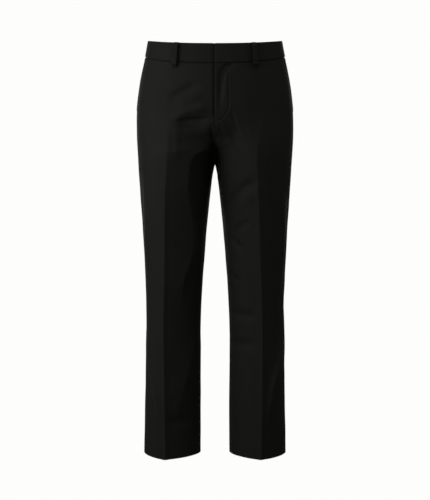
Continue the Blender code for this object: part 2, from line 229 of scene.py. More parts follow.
FRONT_EDGES = (
    # The thin edges that run in from the outseams below the knees.
    (0.0010, (
        (0.345, -0.1700, 0.0000, 0.005, 0.014),
        (0.292, -0.1660, 0.0044, 0.005, 0.014),
        (0.242, -0.1637, 0.0064, 0.005, 0.014),
        (0.183, -0.1562, 0.0070, 0.005, 0.014),
        (0.133, -0.1463, 0.0048, 0.005, 0.012),
        (0.090, -0.1380, 0.0000, 0.006, 0.010),
    )),
    (0.0008, (
        (0.370, 0.1700, 0.0000, 0.005, 0.012),
        (0.317, 0.1662, 0.0050, 0.005, 0.012),
        (0.267, 0.1612, 0.0084, 0.006, 0.012),
        (0.218, 0.1513, 0.0098, 0.006, 0.013),
        (0.183, 0.1414, 0.0092, 0.006, 0.014),
        (0.143, 0.1364, 0.0068, 0.006, 0.014),
        (0.108, 0.1314, 0.0034, 0.006, 0.014),
        (0.070, 0.1280, 0.0000, 0.008, 0.014),
    )),
    # The edges beside the outseams from the thighs to the knees.
    (0.0010, (
        (0.700, -0.1780, 0.0000, 0.003, 0.008),
        (0.640, -0.1745, 0.0030, 0.003, 0.008),
        (0.560, -0.1725, 0.0044, 0.003, 0.008),
        (0.500, -0.1720, 0.0034, 0.003, 0.008),
        (0.440, -0.1700, 0.0000, 0.003, 0.008),
    )),
    (0.0010, (
        (0.665, 0.1750, 0.0000, 0.005, 0.007),
        (0.620, 0.1710, 0.0042, 0.005, 0.007),
        (0.538, 0.1695, 0.0056, 0.005, 0.007),
        (0.435, 0.1643, 0.0044, 0.005, 0.007),
        (0.385, 0.1600, 0.0000, 0.005, 0.007),
    )),
)
BACK_FOLDS = (
    # Drag folds under the seat.
    (0.020, 0.800, 0.150, 0.700, -0.012, 0.016, 0.016, -0.0034),
    (-0.020, 0.800, -0.148, 0.706, 0.012, 0.017, 0.017, -0.0030),
    (0.014, 0.772, 0.122, 0.668, -0.010, 0.010, 0.010, -0.0020),
    (-0.012, 0.776, -0.110, 0.684, 0.010, 0.011, 0.011, -0.0022),
    (0.030, 0.750, 0.140, 0.640, -0.010, 0.020, 0.020, 0.0024),
    (-0.028, 0.754, -0.136, 0.650, 0.010, 0.020, 0.020, 0.0024),
    # Creases behind the knees.
    (0.050, 0.430, 0.160, 0.470, 0.006, 0.011, 0.011, -0.0034),
    (-0.048, 0.436, -0.158, 0.466, -0.006, 0.012, 0.012, -0.0032),
    (0.046, 0.380, 0.150, 0.412, 0.006, 0.012, 0.012, -0.0024),
    (-0.050, 0.372, -0.152, 0.410, -0.006, 0.011, 0.011, -0.0026),
    (0.060, 0.404, 0.150, 0.444, -0.004, 0.009, 0.009, 0.0016),
    (-0.062, 0.402, -0.146, 0.440, 0.004, 0.009, 0.009, 0.0018),
    # Slack over the calves and the heels.
    (0.054, 0.300, 0.136, 0.318, 0.000, 0.014, 0.014, -0.0014),
    (-0.050, 0.292, -0.134, 0.304, 0.000, 0.013, 0.013, -0.0012),
    (0.060, 0.092, 0.140, 0.104, 0.000, 0.014, 0.014, -0.0014),
    (-0.056, 0.100, -0.136, 0.092, 0.000, 0.013, 0.013, -0.0014),
    # Pulls below the waistband.
    (0.014, 0.990, 0.080, 0.940, 0.004, 0.012, 0.012, -0.0012),
    (-0.016, 0.988, -0.086, 0.944, -0.004, 0.012, 0.012, -0.0012),
)
BACK_EDGES = (
    # The thin edges that run in from the outseams below the knees.
    (0.0014, (
        (0.350, 0.1700, 0.0000, 0.014, 0.006),
        (0.300, 0.1650, 0.0018, 0.016, 0.006),
        (0.240, 0.1560, 0.0030, 0.018, 0.006),
        (0.180, 0.1420, 0.0030, 0.018, 0.007),
        (0.120, 0.1300, 0.0018, 0.016, 0.008),
        (0.075, 0.1250, 0.0000, 0.014, 0.008),
    )),
    (0.0014, (
        (0.345, -0.1690, 0.0000, 0.006, 0.014),
        (0.295, -0.1640, 0.0018, 0.006, 0.016),
        (0.235, -0.1540, 0.0028, 0.006, 0.018),
        (0.175, -0.1430, 0.0028, 0.007, 0.018),
        (0.120, -0.1330, 0.0016, 0.008, 0.016),
        (0.080, -0.1290, 0.0000, 0.008, 0.014),
    )),
)
BACK_RIDGES = (
    # Where the thighs turn in.
    (0.0030, (
        (0.770, 0.0300, 0.0000, 0.022, 0.026),
        (0.700, 0.0560, 0.0030, 0.022, 0.026),
        (0.600, 0.0600, 0.0034, 0.022, 0.026),
        (0.500, 0.0640, 0.0024, 0.022, 0.026),
        (0.440, 0.0700, 0.0000, 0.022, 0.026),
    )),
    (0.0030, (
        (0.760, -0.0340, 0.0000, 0.026, 0.022),
        (0.690, -0.0580, 0.0028, 0.026, 0.022),
        (0.610, -0.0610, 0.0032, 0.026, 0.022),
        (0.510, -0.0620, 0.0024, 0.026, 0.022),
        (0.450, -0.0680, 0.0000, 0.026, 0.022),
    )),
)

# The half step over which a ridge's slant is measured, how far to its sides it is felt at all, how high an
# edge stands where its painted highlight is strongest, and how wide the highlighted strip is.
RIDGE_STEP = 0.004
RIDGE_ENDS = 0.065
CREST_RISE = 0.004
CREST_WIDTH = 0.0024

# Folds die out in front of the seams and of the waistband, which stay still.
SEAM_STILL = 0.02
SEAM_FADES = 0.06
BAND_STILL = 0.005

# The cloth's slight unevenness: its height, and the size of its bumps across and up.
RUMPLE = 0.0006
RUMPLE_ACROSS = 0.030
RUMPLE_UP = 0.055

# The pressed creases stand up a little: by how much, how far their flanks reach, and how round the flanks'
# feet are.
PRESSED_RIDGE = 0.0025
PRESSED_WIDTH = 0.012
PRESSED_ROUND = 0.12

# How far the painted highlight along a pressed crease and along an edge reaches.
PRESSED_SHINE = 0.0016
EDGE_SHINE = 0.002

# A sewn seam seen from outside: a narrow ditch, and the raised strip over the seam allowances beneath, which
# fades out over its last share. The ditch under the waistband is wider and deeper, and the one at the band's
# middle back is shallower.
SEAM_EDGE = 0.00015
DITCH_DEPTH = 0.0009
DITCH_WIDTH = 0.0011
ALLOWANCE_HEIGHT = 0.00035
ALLOWANCE_WIDTH = 0.009
ALLOWANCE_FADES = 0.3
WAIST_DITCH = 2.2
BAND_DITCH = 0.6

# Folded edges: how deep they are rolled in on the panels and the loops, on the fly's lap and the band, and
# along the band's foot, how much of that roundness shows, and the angle below which a mesh's faces are shaded
# as one.
EDGE_ROLL = 0.0010
FOLD_ROLL = 0.0014
BAND_FOOT_ROLL = 0.0006
ROLL_SHOWS = 0.8
SMOOTH_BELOW = math.radians(50.0)

# An edge with nothing to lie behind is turned in this deep, with next to no lip. Right above the crotch,
# where front and back all but touch, an edge turns down this much more than in, which fades out over this
# height.
TURNED_IN = 0.0012
TURNED_LIP = 0.0001
CROTCH_DOWN = 2.0
CROTCH_OPENS = 0.030

# The seam allowances: how deep beneath the neighbouring piece they lie, and how far they reach behind it.
# Those behind the waistband start from the bottom of its deeper ditch.
ALLOWANCE_DEPTH = 0.0021
WAIST_ALLOWANCE_DEPTH = 0.0004
ALLOWANCE_REACH = 0.007

# Metres for one unit of turn, used to place what is measured along the cloth, and its degrees. The steps over
# which the form is measured where it has to be exact, and what counts as nothing.
SIDE_ARC = 0.150
CENTRE_ARC = 0.125
LEG_ARC = 0.100
TURN_DEGREES = 90.0
TURN_STEP = 0.01
HEIGHT_STEP = 0.001
TINY = 1e-6

# The fly's J seam: how far it lies from the centre front, over what height it turns in to the lap's edge, how
# far below the waist seam its stitches end, the depth and width of its groove, how many widths below the
# fly's foot it starts, and the slight roll outside it.
FLY_WIDTH = 0.033
FLY_CURVE = 0.046
FLY_SEAM_TOP = 0.003
QUILT_DEPTH = 0.0013
QUILT_WIDTH = 0.0018
QUILT_STARTS = 2.0
QUILT_ROLL = 0.00045
QUILT_ROLL_AT = 0.0038
QUILT_ROLL_WIDTH = 0.0018

# The fly's lap: how far the right front dips under it, over what width and height, and the roll along its
# edge.
LAP_DIP = 0.0034
LAP_DIP_WIDTH = 0.009
LAP_STARTS = 0.020
LAP_ROLL = 0.0010
LAP_ROLL_AT = 0.003
LAP_ROLL_WIDTH = 0.004

# The fly's under layer: how far it reaches to the left and to the right of the middle and below the fly's
# foot, and the share of its height over which its lower end is rounded.
UNDERLAP_WIDTH = 0.034
UNDERLAP_BEHIND = 0.013
UNDERLAP_BELOW = 0.004
UNDERLAP_ROUND = 0.25

# Side pockets: how wide the cut-away corner is at the waist seam, over what height the mouth opens, and how
# far its edge lifts. The facing lies under the front, sunk by this much, reaches on below the mouth, behind
# the outseam and up behind the band, and dips where it goes behind the outseam.
POCKET_MOUTH = 0.030
POCKET_OPENS = 0.012
MOUTH_LIFT = 0.0016
MOUTH_LIFT_WIDTH = 0.010
FACING_UNDER = 0.022
FACING_SINK = 0.0006
FACING_BELOW = 0.020
FACING_BEHIND = 0.007
FACING_DIP = 0.0016
FACING_DIP_ENDS = 0.003

# Waistband and belt loops: how far the band stands proud of the panels, how far a loop reaches below the
# waist seam and stands off the band, how long its curved ends are, and over what height it steps up on to the
# band. A loop's place is a turn: 2 at centre front, 0 at the side and -2 at centre back.
BAND_PROUD = 0.0008
LOOP_BELOW = 0.0165
LOOP_STAND = 0.0058
LOOP_END = 0.009
LOOP_RISE = 0.004
LOOP_TURNS = {"front": 1.06, "side": -0.42, "back": -2.0}

# Stitches: how many sides one has, how strongly it bends into its needle holes, the share of its length that
# shows, how deep it sinks into the cloth, and the distance over which the way out of the cloth is measured.
# How far from the lap's edge the fly's row ends. How many points the fine lines have that stitches follow:
# round the fly's foot, up its side, along a loop and across it.
STITCH_SIDES = 6
STITCH_BENDS = 2.2
STITCH_SHOWS = 0.86
STITCH_SINKS = 0.0001
STITCH_UP = 0.01
FLY_ROW_ENDS = 0.0015
FOOT_POINTS = 60
SIDE_POINTS = 80
ROW_POINTS = 90
TACK_POINTS = 30

# The rows along a loop: how far in from its edges they lie, how far from its ends they stop, and their
# groove. The bar tacks across it: how far in from its ends they lie, how far from its edges they stop, and
# their short stitches.
LOOP_ROW_INSET = 0.0022
LOOP_ROW_ENDS = 0.003
LOOP_GROOVE = 0.0006
LOOP_GROOVE_WIDTH = 0.0009
TACK_INSET = 0.0022
TACK_ENDS = 0.0012
TACK_STITCH = 0.0009

# The meshes' edges: distances from a panel's edge to its first rows or columns.
EDGE_SPOTS = (SEAM_EDGE, 0.0008, 0.0016, 0.0026, 0.0042, 0.0065)

# The rows of a panel's mesh: how far its even rows stay from the hem and the waist seam, the heights at which
# their distance changes, and their distances on the leg, the thigh, the crotch, round the fly's foot and on
# the hip.
ROWS_INSET = 0.010
THIGH_STARTS = 0.640
FOOT_STARTS = 0.822
FOOT_ENDS = 0.885
LEG_ROWS = 0.0042
THIGH_ROWS = 0.0030
CROTCH_ROWS = 0.0026
FOOT_ROWS = 0.0016
HIP_ROWS = 0.0030

# Its columns: how far the even ones stay from its edges and from the crease, the places of those on the
# crease, how wide the strip beside the middle is where they lie closer, and their distances outside the
# crease, inside it and in that strip.
COLUMNS_FROM_EDGE = 0.008
COLUMNS_FROM_CREASE = 0.006
CREASE_SPOTS = (-0.0045, -0.0022, -0.0009, 0.0, 0.0009, 0.0022, 0.0045)
MIDDLE_STRIP = 0.042
OUTER_COLUMNS = 0.0018
INNER_COLUMNS = 0.0026
MIDDLE_COLUMNS = 0.0015

# The small pieces' meshes. The facing's rows, its columns behind the outseam, and before it as a share of its
# width. The under layer's rows and columns as shares of its height and width.
FACING_ROWS = 0.0045
FACING_BEHIND_COLUMNS = 0.0010
FACING_COLUMNS = 0.05
UNDERLAP_ROWS = 0.03
UNDERLAP_COLUMNS = 0.06

# The waistband's mesh: the heights above its lower edge at which its rows' distance changes, those distances,
# the strip at each end where its columns lie closer, their distances at its two ends, and between them as a
# turn.
BAND_FOOT = 0.010
BAND_HEAD = 0.032
BAND_ROWS = (0.0012, 0.0035, 0.0009)
BAND_END = 0.010
BAND_BACK_COLUMNS = 0.0012
BAND_FRONT_COLUMNS = 0.0009
BAND_COLUMNS = 0.030

# A belt loop's mesh: the strip round its edges where rows and columns lie closer, their distance there, and
# the distances between its other columns and rows.
LOOP_EDGE = 0.0015
LOOP_EDGE_STEP = 0.0003
LOOP_COLUMNS = 0.0009
LOOP_ROWS = 0.0013

# The cloth's surface: the height of its yarns outside and on the brushed inner face, and that face's
# roughness. The weave's shade over its height, as a change and the shade of its hollows, how much the cloth's
# tone and gloss vary, and how much the painted highlight on creases, crests and edges lightens the colour
# and makes it glossier.
YARN_HEIGHT = 0.00006
NAP_HEIGHT = 0.00012
NAP_ROUGHNESS = 0.9
WEAVE_SHADE = (0.30, 0.80)
TONE_VARIES = 0.12
GLOSS_VARIES = 0.16
HIGHLIGHT_TONE = 0.42
HIGHLIGHT_GLOSS = -0.10

# The thread: its shade and its roughness along its twist, each as a change and what that is added to.
THREAD_SHADE = (0.4, 0.8)
THREAD_ROUGHNESS = (0.15, 0.50)

# The lights: name, place, what it is aimed at, and its width and height. Its power is the studio's property
# that its name begins with.
LIGHTS = (
    ("key", (-1.30, -1.05, -0.10), (0.0, 0.0, -0.40), (0.8, 1.2)),
    ("side", (-1.80, -0.35, 0.0), (0.0, 0.0, -0.40), (0.8, 1.2)),
    ("fill", (2.3, -0.9, 0.5), (0.0, 0.0, -0.40), (1.6, 1.6)),
    ("front", (-0.8, -1.8, 0.1), (0.0, 0.0, -0.40), (0.8, 1.2)),
    ("top", (0.0, -0.4, 1.6), (0.0, 0.0, -0.10), (1.2, 1.2)),
    ("back left", (0.8, 2.2, 0.4), (0.0, 0.0, -0.45), (1.2, 1.6)),
    ("back right", (-0.9, 2.1, 0.2), (0.0, 0.0, -0.45), (1.2, 1.6)),
)

# The floor's disc, the colour of the dim light from all round, and the width of the camera's sensor in
# millimetres.
FLOOR_RADIUS = 30.0
FLOOR_SIDES = 96
AROUND_COLOUR = (1.0, 1.0, 0.98)
SENSOR = 36.0


class TrousersCut(bpy.types.PropertyGroup):
    """Sizes of the trousers."""

    crotch: FloatProperty(name="Crotch", description="Height of the crotch", default=0.735, unit="LENGTH")
    fly_bottom: FloatProperty(
        name="Fly bottom", description="Height of the fly's foot", default=0.826, unit="LENGTH"
    )
    pocket_bottom: FloatProperty(
        name="Pocket bottom", description="Height of the pocket mouth's lower end", default=0.862,
        unit="LENGTH",
    )
    waist_seam: FloatProperty(
        name="Waist seam", description="Height of the waistband's lower edge", default=1.0075, unit="LENGTH"
    )
    waist_top: FloatProperty(
        name="Waist top", description="Height of the waistband's top edge", default=1.0480, unit="LENGTH"
    )
    hold: FloatProperty(
        name="Hold", description="Height of the origin above the hem", default=1.0265, unit="LENGTH"
    )
    cloth: FloatProperty(name="Cloth", description="Thickness of the cloth", default=0.0015, unit="LENGTH")
    hem: FloatProperty(
        name="Hem", description="Thickness of the turned-up hem", default=0.0024, unit="LENGTH"
    )
    hem_depth: FloatProperty(
        name="Hem depth", description="Height of the cloth turned up inside the leg", default=0.035,
        unit="LENGTH",
    )
    band: FloatProperty(name="Band", description="Thickness of the waistband", default=0.0024, unit="LENGTH")
    loop: FloatProperty(name="Loop", description="Thickness of a belt loop", default=0.0024, unit="LENGTH")
    loop_width: FloatProperty(
        name="Loop width", description="Width of a belt loop", default=0.012, unit="LENGTH"
    )
    gap: FloatProperty(
        name="Gap", description="Space between pieces at a seam", default=0.0003, unit="LENGTH"
    )
    stitch: FloatProperty(name="Stitch", description="Length of one stitch", default=0.0026, unit="LENGTH")
    thread: FloatProperty(
        name="Thread", description="Thickness of the thread", default=0.00042, unit="LENGTH"
    )


class TrousersFinish(bpy.types.PropertyGroup):
    """Colours and surface of the cloth and the thread."""

    cloth: FloatVectorProperty(
        name="Cloth", description="Colour of the cloth", default=(0.0165, 0.0167, 0.0126),
        subtype="COLOR", size=3,
    )
    band: FloatVectorProperty(
        name="Band", description="Colour of the waistband and loops", default=(0.0155, 0.0157, 0.0118),
        subtype="COLOR", size=3,
    )
    inside: FloatVectorProperty(
        name="Inside", description="Colour of the cloth's brushed inner face", default=(0.020, 0.020, 0.019),
        subtype="COLOR", size=3,
    )
    thread: FloatVectorProperty(
        name="Thread", description="Colour of the thread", default=(0.020, 0.0198, 0.0185),
        subtype="COLOR", size=3,
    )
    roughness: FloatProperty(
        name="Roughness", description="Roughness of the cloth", default=0.72,
        min=0.0, max=1.0, subtype="FACTOR",
    )
    weave: FloatProperty(
        name="Weave", description="Distance from one yarn to the next", default=0.00045,
        unit="LENGTH", precision=5,
    )


class TrousersStudio(bpy.types.PropertyGroup):
    """Camera, floor and lights."""

    distance: FloatProperty(
        name="Distance", description="Camera to the side seams", default=2.2, unit="LENGTH"
    )
    eye: FloatProperty(
        name="Eye height", description="Height of the camera above the hem", default=0.5151, unit="LENGTH"
    )
    half_view: FloatProperty(
        name="Half view", description="Half the height that the picture takes in", default=0.6375,
        unit="LENGTH",
    )
    floor_drop: FloatProperty(
        name="Floor", description="Height of the hem above the floor", default=0.030, unit="LENGTH"
    )
    floor: FloatVectorProperty(
        name="Floor colour", description="Colour of the floor", default=(0.985, 0.985, 0.970),
        subtype="COLOR", size=3,
    )
    key: FloatProperty(name="Key", description="Power of the main light", default=6.35, unit="POWER")
    front: FloatProperty(
        name="Front", description="Power of the light beside the camera", default=2.5, unit="POWER"
    )
    side: FloatProperty(
        name="Side", description="Power of the light on the key's side", default=3.75, unit="POWER"
    )
    fill: FloatProperty(
        name="Fill", description="Power of the light on the other side", default=5.1, unit="POWER"
    )
    top: FloatProperty(name="Top", description="Power of the light above", default=4.4, unit="POWER")
    back: FloatProperty(name="Back", description="Power of each light behind", default=8.0, unit="POWER")
    ambient: FloatProperty(
        name="Ambient", description="Light from all round", default=0.061, min=0.0, max=2.0
    )


def cut():
    """The sizes."""
    return bpy.context.scene.trousers_cut


def finish_of():
    """The colours and the surface."""
    return bpy.context.scene.trousers_finish


def studio():
    """The camera's, the floor's and the lights' values."""
    return bpy.context.scene.trousers_studio


# The form of the garment.


def ease(amount):
    """0 to 1 with soft ends."""
    amount = np.clip(amount, 0.0, 1.0)
    return amount * amount * (3.0 - 2.0 * amount)


def curve_through(height, heights, values):
    """A smooth curve through values given at rising heights, read at these heights."""
    last = len(heights) - 1
    before, after = np.maximum(np.arange(last + 1) - 1, 0), np.minimum(np.arange(last + 1) + 1, last)
    slopes = (values[after] - values[before]) / (heights[after] - heights[before])
    low = np.clip(np.searchsorted(heights, height, side="right") - 1, 0, last - 1)
    step = heights[low + 1] - heights[low]
    spot = np.clip((height - heights[low]) / step, 0.0, 1.0)
    rest = 1.0 - spot
    return (
        values[low] * (1.0 + 2.0 * spot) * rest * rest
        + slopes[low] * step * spot * rest * rest
        + values[low + 1] * (3.0 - 2.0 * spot) * spot * spot
        - slopes[low + 1] * step * rest * spot * spot
    )


def at(height, column):
    """A column of SECTIONS at these heights, as a smooth curve through its rows."""
    return curve_through(height, SECTIONS[:, 0], SECTIONS[:, COLUMNS.index(column)])


def leg_ring(side, height, turn):
    """Across and depth on a leg's ring: turn is 0 at the widest point, 1 at a crease, 2 at the inseam."""
    front, outer = turn >= 0.0, np.abs(turn) <= 1.0
    crease_x = at(height, "crease") + at(height, "twist") * np.where(front, -side, side)
    crease_y = np.where(front, at(height, "front"), at(height, "back"))
    reach = at(height, "inner")
    reach = np.where(front, reach, reach * (1.0 + BACK_REACH * ease(-reach / BACK_REACH_GROWS)))
    quarter = math.pi / 2.0
    short = quarter - np.arcsin(np.minimum(crease_x / (crease_x - reach), 1.0))
    gather = np.minimum(GATHER, GATHER_LIMIT * quarter / np.maximum(short, TINY))
    inward = np.maximum(np.abs(turn) - 1.0, 0.0)
    angle = np.where(outer, quarter * (1.0 - np.abs(turn)), quarter * inward - short * inward**gather)
    end_x = np.where(outer, at(height, "outer"), reach)
    end_y = np.where(outer, at(height, "middle"), CROTCH_DEPTH)
    press = at(height, "press")
    share = (1.0 - press) * np.cos(angle) + press * (1.0 - np.sin(angle))
    return crease_x + (end_x - crease_x) * np.sin(angle), end_y + (crease_y - end_y) * share


def hip_ring(height, turn):
    """Across and depth on the ring round the hips and waist: turn is 0 at the side and 2 at the centre."""
    outer, middle = at(height, "outer"), at(height, "middle")
    centre = np.where(turn >= 0.0, at(height, "front"), at(height, "back"))
    turn = np.abs(turn)
    spot = np.where(turn <= 1.0, HIP_CREASE * turn, HIP_CREASE + (1.0 - HIP_CREASE) * (turn - 1.0))
    rest = 1.0 - spot
    side_share, mid_share, front_share = rest**3, 3.0 * rest * rest * spot, 3.0 * rest * spot * spot
    across = outer * (side_share + mid_share) + outer * HIP_ROUND * front_share
    handle = middle + (centre - middle) * HIP_ROUND
    return across, middle * side_share + handle * mid_share + centre * (front_share + spot**3)


def plain_form(side, height, turn):
    """Places of the cloth's outer face without its folds."""
    sizes = cut()
    joined = ease((height - sizes.crotch) / THIGHS_JOIN)
    leg_x, leg_y = leg_ring(side, height, turn)
    hip_x, hip_y = hip_ring(height, turn)
    x, y = leg_x + (hip_x - leg_x) * joined, leg_y + (hip_y - leg_y) * joined
    x = np.where(np.abs(turn) <= 2.0, np.maximum(x, sizes.gap / 2.0), x)
    back_share = y / WAIST_DEPTH
    sloped = ease((height - SLOPE_STARTS) / (sizes.waist_seam - SLOPE_STARTS))
    rise = sloped * (WAIST_SLOPE * back_share - WAIST_DIP * np.minimum(back_share * back_share, 1.0))
    above_seam = np.clip((sizes.waist_top - height) / (sizes.waist_top - sizes.waist_seam), 0.0, 1.0)
    rise = rise - sloped * above_seam * SEAM_DIP * np.maximum(-back_share, 0.0) ** 2
    round_share = np.minimum((y / SECTIONS[0, COLUMNS.index("front")]) ** 2, 1.0)
    dip = HEM_DIP * round_share * (1.0 - ease(height / HEM_DIP_ENDS))
    return np.stack((side * x, y, height + rise - dip - sizes.hold), axis=-1)


def outward(side, height, turn):
    """Directions out of the cloth."""
    sizes = cut()
    low, high = np.maximum(height - HEIGHT_STEP, 0.0), np.minimum(height + HEIGHT_STEP, sizes.waist_top)
    at_seam = (np.abs(turn) > 2.0 - TURN_STEP) & (height < sizes.fly_bottom)
    ahead = np.where(at_seam & (turn > 0.0), turn, turn + TURN_STEP)
    behind = np.where(at_seam & (turn < 0.0), turn, turn - TURN_STEP)
    across = plain_form(side, height, ahead) - plain_form(side, height, behind)
    up = plain_form(side, high, turn) - plain_form(side, low, turn)
    normal = np.cross(across, up) * -side
    middle = (np.abs(turn) > 2.0 - TINY) & (height > sizes.crotch)
    normal[..., 0] = np.where(middle, 0.0, normal[..., 0])
    return normal / np.linalg.norm(normal, axis=-1, keepdims=True)


def folds_at(place, folds):
    """How far these folds move the points out of the cloth."""
    total = np.zeros(place.shape[:-1])
    for fold in folds:
        row = dict(zip(FOLD_COLUMNS, fold))
        way = np.array((row["x1"] - row["x0"], row["z1"] - row["z0"]))
        length = np.linalg.norm(way)
        across, up = place[..., 0] - row["x0"], place[..., 2] + cut().hold - row["z0"]
        along = np.clip((across * way[0] + up * way[1]) / length**2, 0.0, 1.0)
        off = (across * way[1] - up * way[0]) / length - row["bow"] * 4.0 * along * (1.0 - along)
        ends = ease(along / FOLD_FADES) * ease((1.0 - along) / FOLD_FADES)
        reach = np.where(off < 0.0, row["left"], row["right"])
        total += row["height"] * ends * np.exp(-((off / reach) ** 2))
    return total


def ridges_at(place, ridges, right_way):
    """How far these ridges move the points out of the cloth, and how near they are to the top of a high one.

    right_way is 1 on the front and -1 on the back.
    """
    total, crest = np.zeros(place.shape[:-1]), np.zeros(place.shape[:-1])
    height = place[..., 2] + cut().hold
    for top_round, rows in ridges:
        table = np.array(rows)[::-1]
        heights = table[:, 0]
        across, rise, left, right = (
            curve_through(height, heights, table[:, RIDGE_COLUMNS.index(name)]) for name in RIDGE_COLUMNS[1:]
        )
        above = curve_through(height + RIDGE_STEP, heights, table[:, 1])
        below = curve_through(height - RIDGE_STEP, heights, table[:, 1])
        upright = 1.0 / np.hypot(1.0, (above - below) / (2.0 * RIDGE_STEP))
        beside = place[..., 0] - across
        off = beside * upright * right_way
        flank = np.where(off < 0.0, left, right)
        fall = (np.sqrt(off**2 + top_round**2) - top_round) / flank
        total += rise * np.exp(-fall - (beside / RIDGE_ENDS) ** 4)
        crest = np.maximum(crest, np.clip(rise / CREST_RISE, 0.0, 1.0) * np.exp(-((off / CREST_WIDTH) ** 2)))
    return total, crest


def outseam(height):
    """How far forward of the side the outseam lies, as a turn."""
    return at(height, "outseam") / TURN_DEGREES


def soft_lift(place, height, turn):
    """Folds and unevenness of the cloth, which leave the seams still."""
    near_outseam = ease((np.abs(turn - outseam(height)) - SEAM_STILL) / SEAM_FADES)
    near_inner = ease((2.0 - np.abs(turn)) / SEAM_FADES)
    front = folds_at(place, FRONT_FOLDS) + ridges_at(place, FRONT_RIDGES + FRONT_EDGES, 1)[0]
    back = folds_at(place, BACK_FOLDS) + ridges_at(place, BACK_RIDGES + BACK_EDGES, -1)[0]
    folds = np.where(turn >= 0.0, front, back)
    below_band = ease((cut().waist_seam - height) / BAND_STILL)
    spots = place.reshape(-1, 3) / (RUMPLE_ACROSS, RUMPLE_ACROSS, RUMPLE_UP)
    rumple = np.array([noise.noise(Vector(spot)) for spot in spots]).reshape(height.shape)
    return folds * near_outseam * near_inner * below_band + RUMPLE * rumple


def cloth_form(side, height, turn, lift=0.0):
    """Places of the cloth's outer face with its folds, moved out by lift."""
    height, turn = np.broadcast_arrays(np.asarray(height, float), np.asarray(turn, float))
    place = plain_form(side, height, turn)
    out = outward(side, height, turn)
    return place + out * (lift + soft_lift(place, height, turn))[..., None]


# Sewn edges.


def metres_along(place, axis):
    """Length along the cloth from the first row or column to each point."""
    steps = np.linalg.norm(np.diff(place, axis=axis), axis=-1)
    start = np.zeros_like(np.take(steps, [0], axis=axis))
    return np.concatenate((start, np.cumsum(steps, axis=axis)), axis=axis)


def seam_relief(distance, size=1.0):
    """The ditch at a seam and the raised strip beside it: size is how much larger the ditch is than most."""
    ditch = -DITCH_DEPTH * size * np.exp(-((distance / (DITCH_WIDTH * size)) ** 2))
    fades_from = (1.0 - ALLOWANCE_FADES) * ALLOWANCE_WIDTH
    strip = ALLOWANCE_HEIGHT * (1.0 - ease((distance - fades_from) / (ALLOWANCE_FADES * ALLOWANCE_WIDTH)))
    return ditch + strip


def rolled_edge(distance, radius):
    """How far the outer face drops towards a folded edge."""
    inside = np.clip(distance / radius, 0.0, 1.0)
    return -radius * (1.0 - np.sqrt(1.0 - (1.0 - inside) ** 2)) * ROLL_SHOWS


def stretches(*parts):
    """Numbers that rise through parts, each given as (start, end, step)."""
    spots = []
    for start, end, step in parts:
        count = max(round((end - start) / step), 1)
        spots += [start + (end - start) * i / count for i in range(count)]
    return np.array(spots + [parts[-1][1]])


def with_edges(low, high, inner):
    """Spots from low to high, closer together at both edges, and inner between them."""
    spots = np.array(EDGE_SPOTS)
    return np.concatenate((low + spots, inner, high - spots[::-1]))


def edge_first(place, edge):
    """The grid, turned round so that this edge is its first row."""
    rows_first = place if edge in ("bottom", "top") else place.swapaxes(0, 1)
    return rows_first[::-1] if edge in ("top", "right") else rows_first


def past_edge(place, edge):
    """Directions along the cloth that lead over this edge of a grid."""
    rows_first = edge_first(place, edge)
    ahead = rows_first[0] - rows_first[2]
    return ahead / np.linalg.norm(ahead, axis=-1, keepdims=True)


def turn_in(place, out, ahead, edge, depth, reach):
    """Adds two rows or columns past an edge of a grid: the cloth turned in, and its allowance.

    out and ahead hold the directions out of the cloth and over the edge, and depth and reach how far it goes
    inwards and on behind its neighbour, for each point of that edge.
    """
    rows_first = edge_first(place, edge)
    depth, reach = (np.broadcast_to(value, len(out))[:, None] for value in (depth, reach))
    turned = rows_first[0] - out * depth
    rows_first = np.concatenate(((turned + ahead * reach)[None], turned[None], rows_first))
    if edge in ("top", "right"):
        rows_first = rows_first[::-1]
    return rows_first if edge in ("bottom", "top") else rows_first.swapaxes(0, 1)


def grown(values, edges):
    """Repeats the outermost rows and columns of values where turn_in added some."""
    before_after = {"bottom": (0, 0), "top": (0, 1), "left": (1, 0), "right": (1, 1)}
    for edge in edges:
        axis, end = before_after[edge]
        pad = [(0, 0)] * values.ndim
        pad[axis] = (2, 0) if end == 0 else (0, 2)
        values = np.pad(values, pad, mode="edge")
    return values


# Meshes.


def deselect():
    for item in bpy.context.selected_objects:
        item.select_set(False)


def laid_grid(name, place, measure, worn, side):
    """A grid primitive laid on these places, with its lengths along the cloth as a UV map in metres."""
    rows, columns = place.shape[:2]
    deselect()
    bpy.ops.mesh.primitive_grid_add(x_subdivisions=columns - 1, y_subdivisions=rows - 1, size=2.0)
    piece = bpy.context.object
    piece.name = name
    piece.data.name = name
    mesh = piece.data
    flat = np.empty(len(mesh.vertices) * 3)
    mesh.vertices.foreach_get("co", flat)
    flat = flat.reshape(-1, 3)
    column = np.rint((flat[:, 0] + 1.0) / 2.0 * (columns - 1)).astype(int)
    row = np.rint((flat[:, 1] + 1.0) / 2.0 * (rows - 1)).astype(int)
    mesh.vertices.foreach_set("co", place[row, column].ravel())
    corners = np.empty(len(mesh.loops), int)
    mesh.loops.foreach_get("vertex_index", corners)
    mesh.uv_layers.active.data.foreach_set("uv", measure[row, column][corners].ravel())
    # The mask of the painted highlight, which lightens the cloth's colour along creases, crests and edges.
    attribute = mesh.attributes.new("worn", "FLOAT", "POINT")
    attribute.data.foreach_set("value", worn[row, column].ravel())
    if side > 0:
        mesh.flip_normals()
    mesh.update()
    return piece


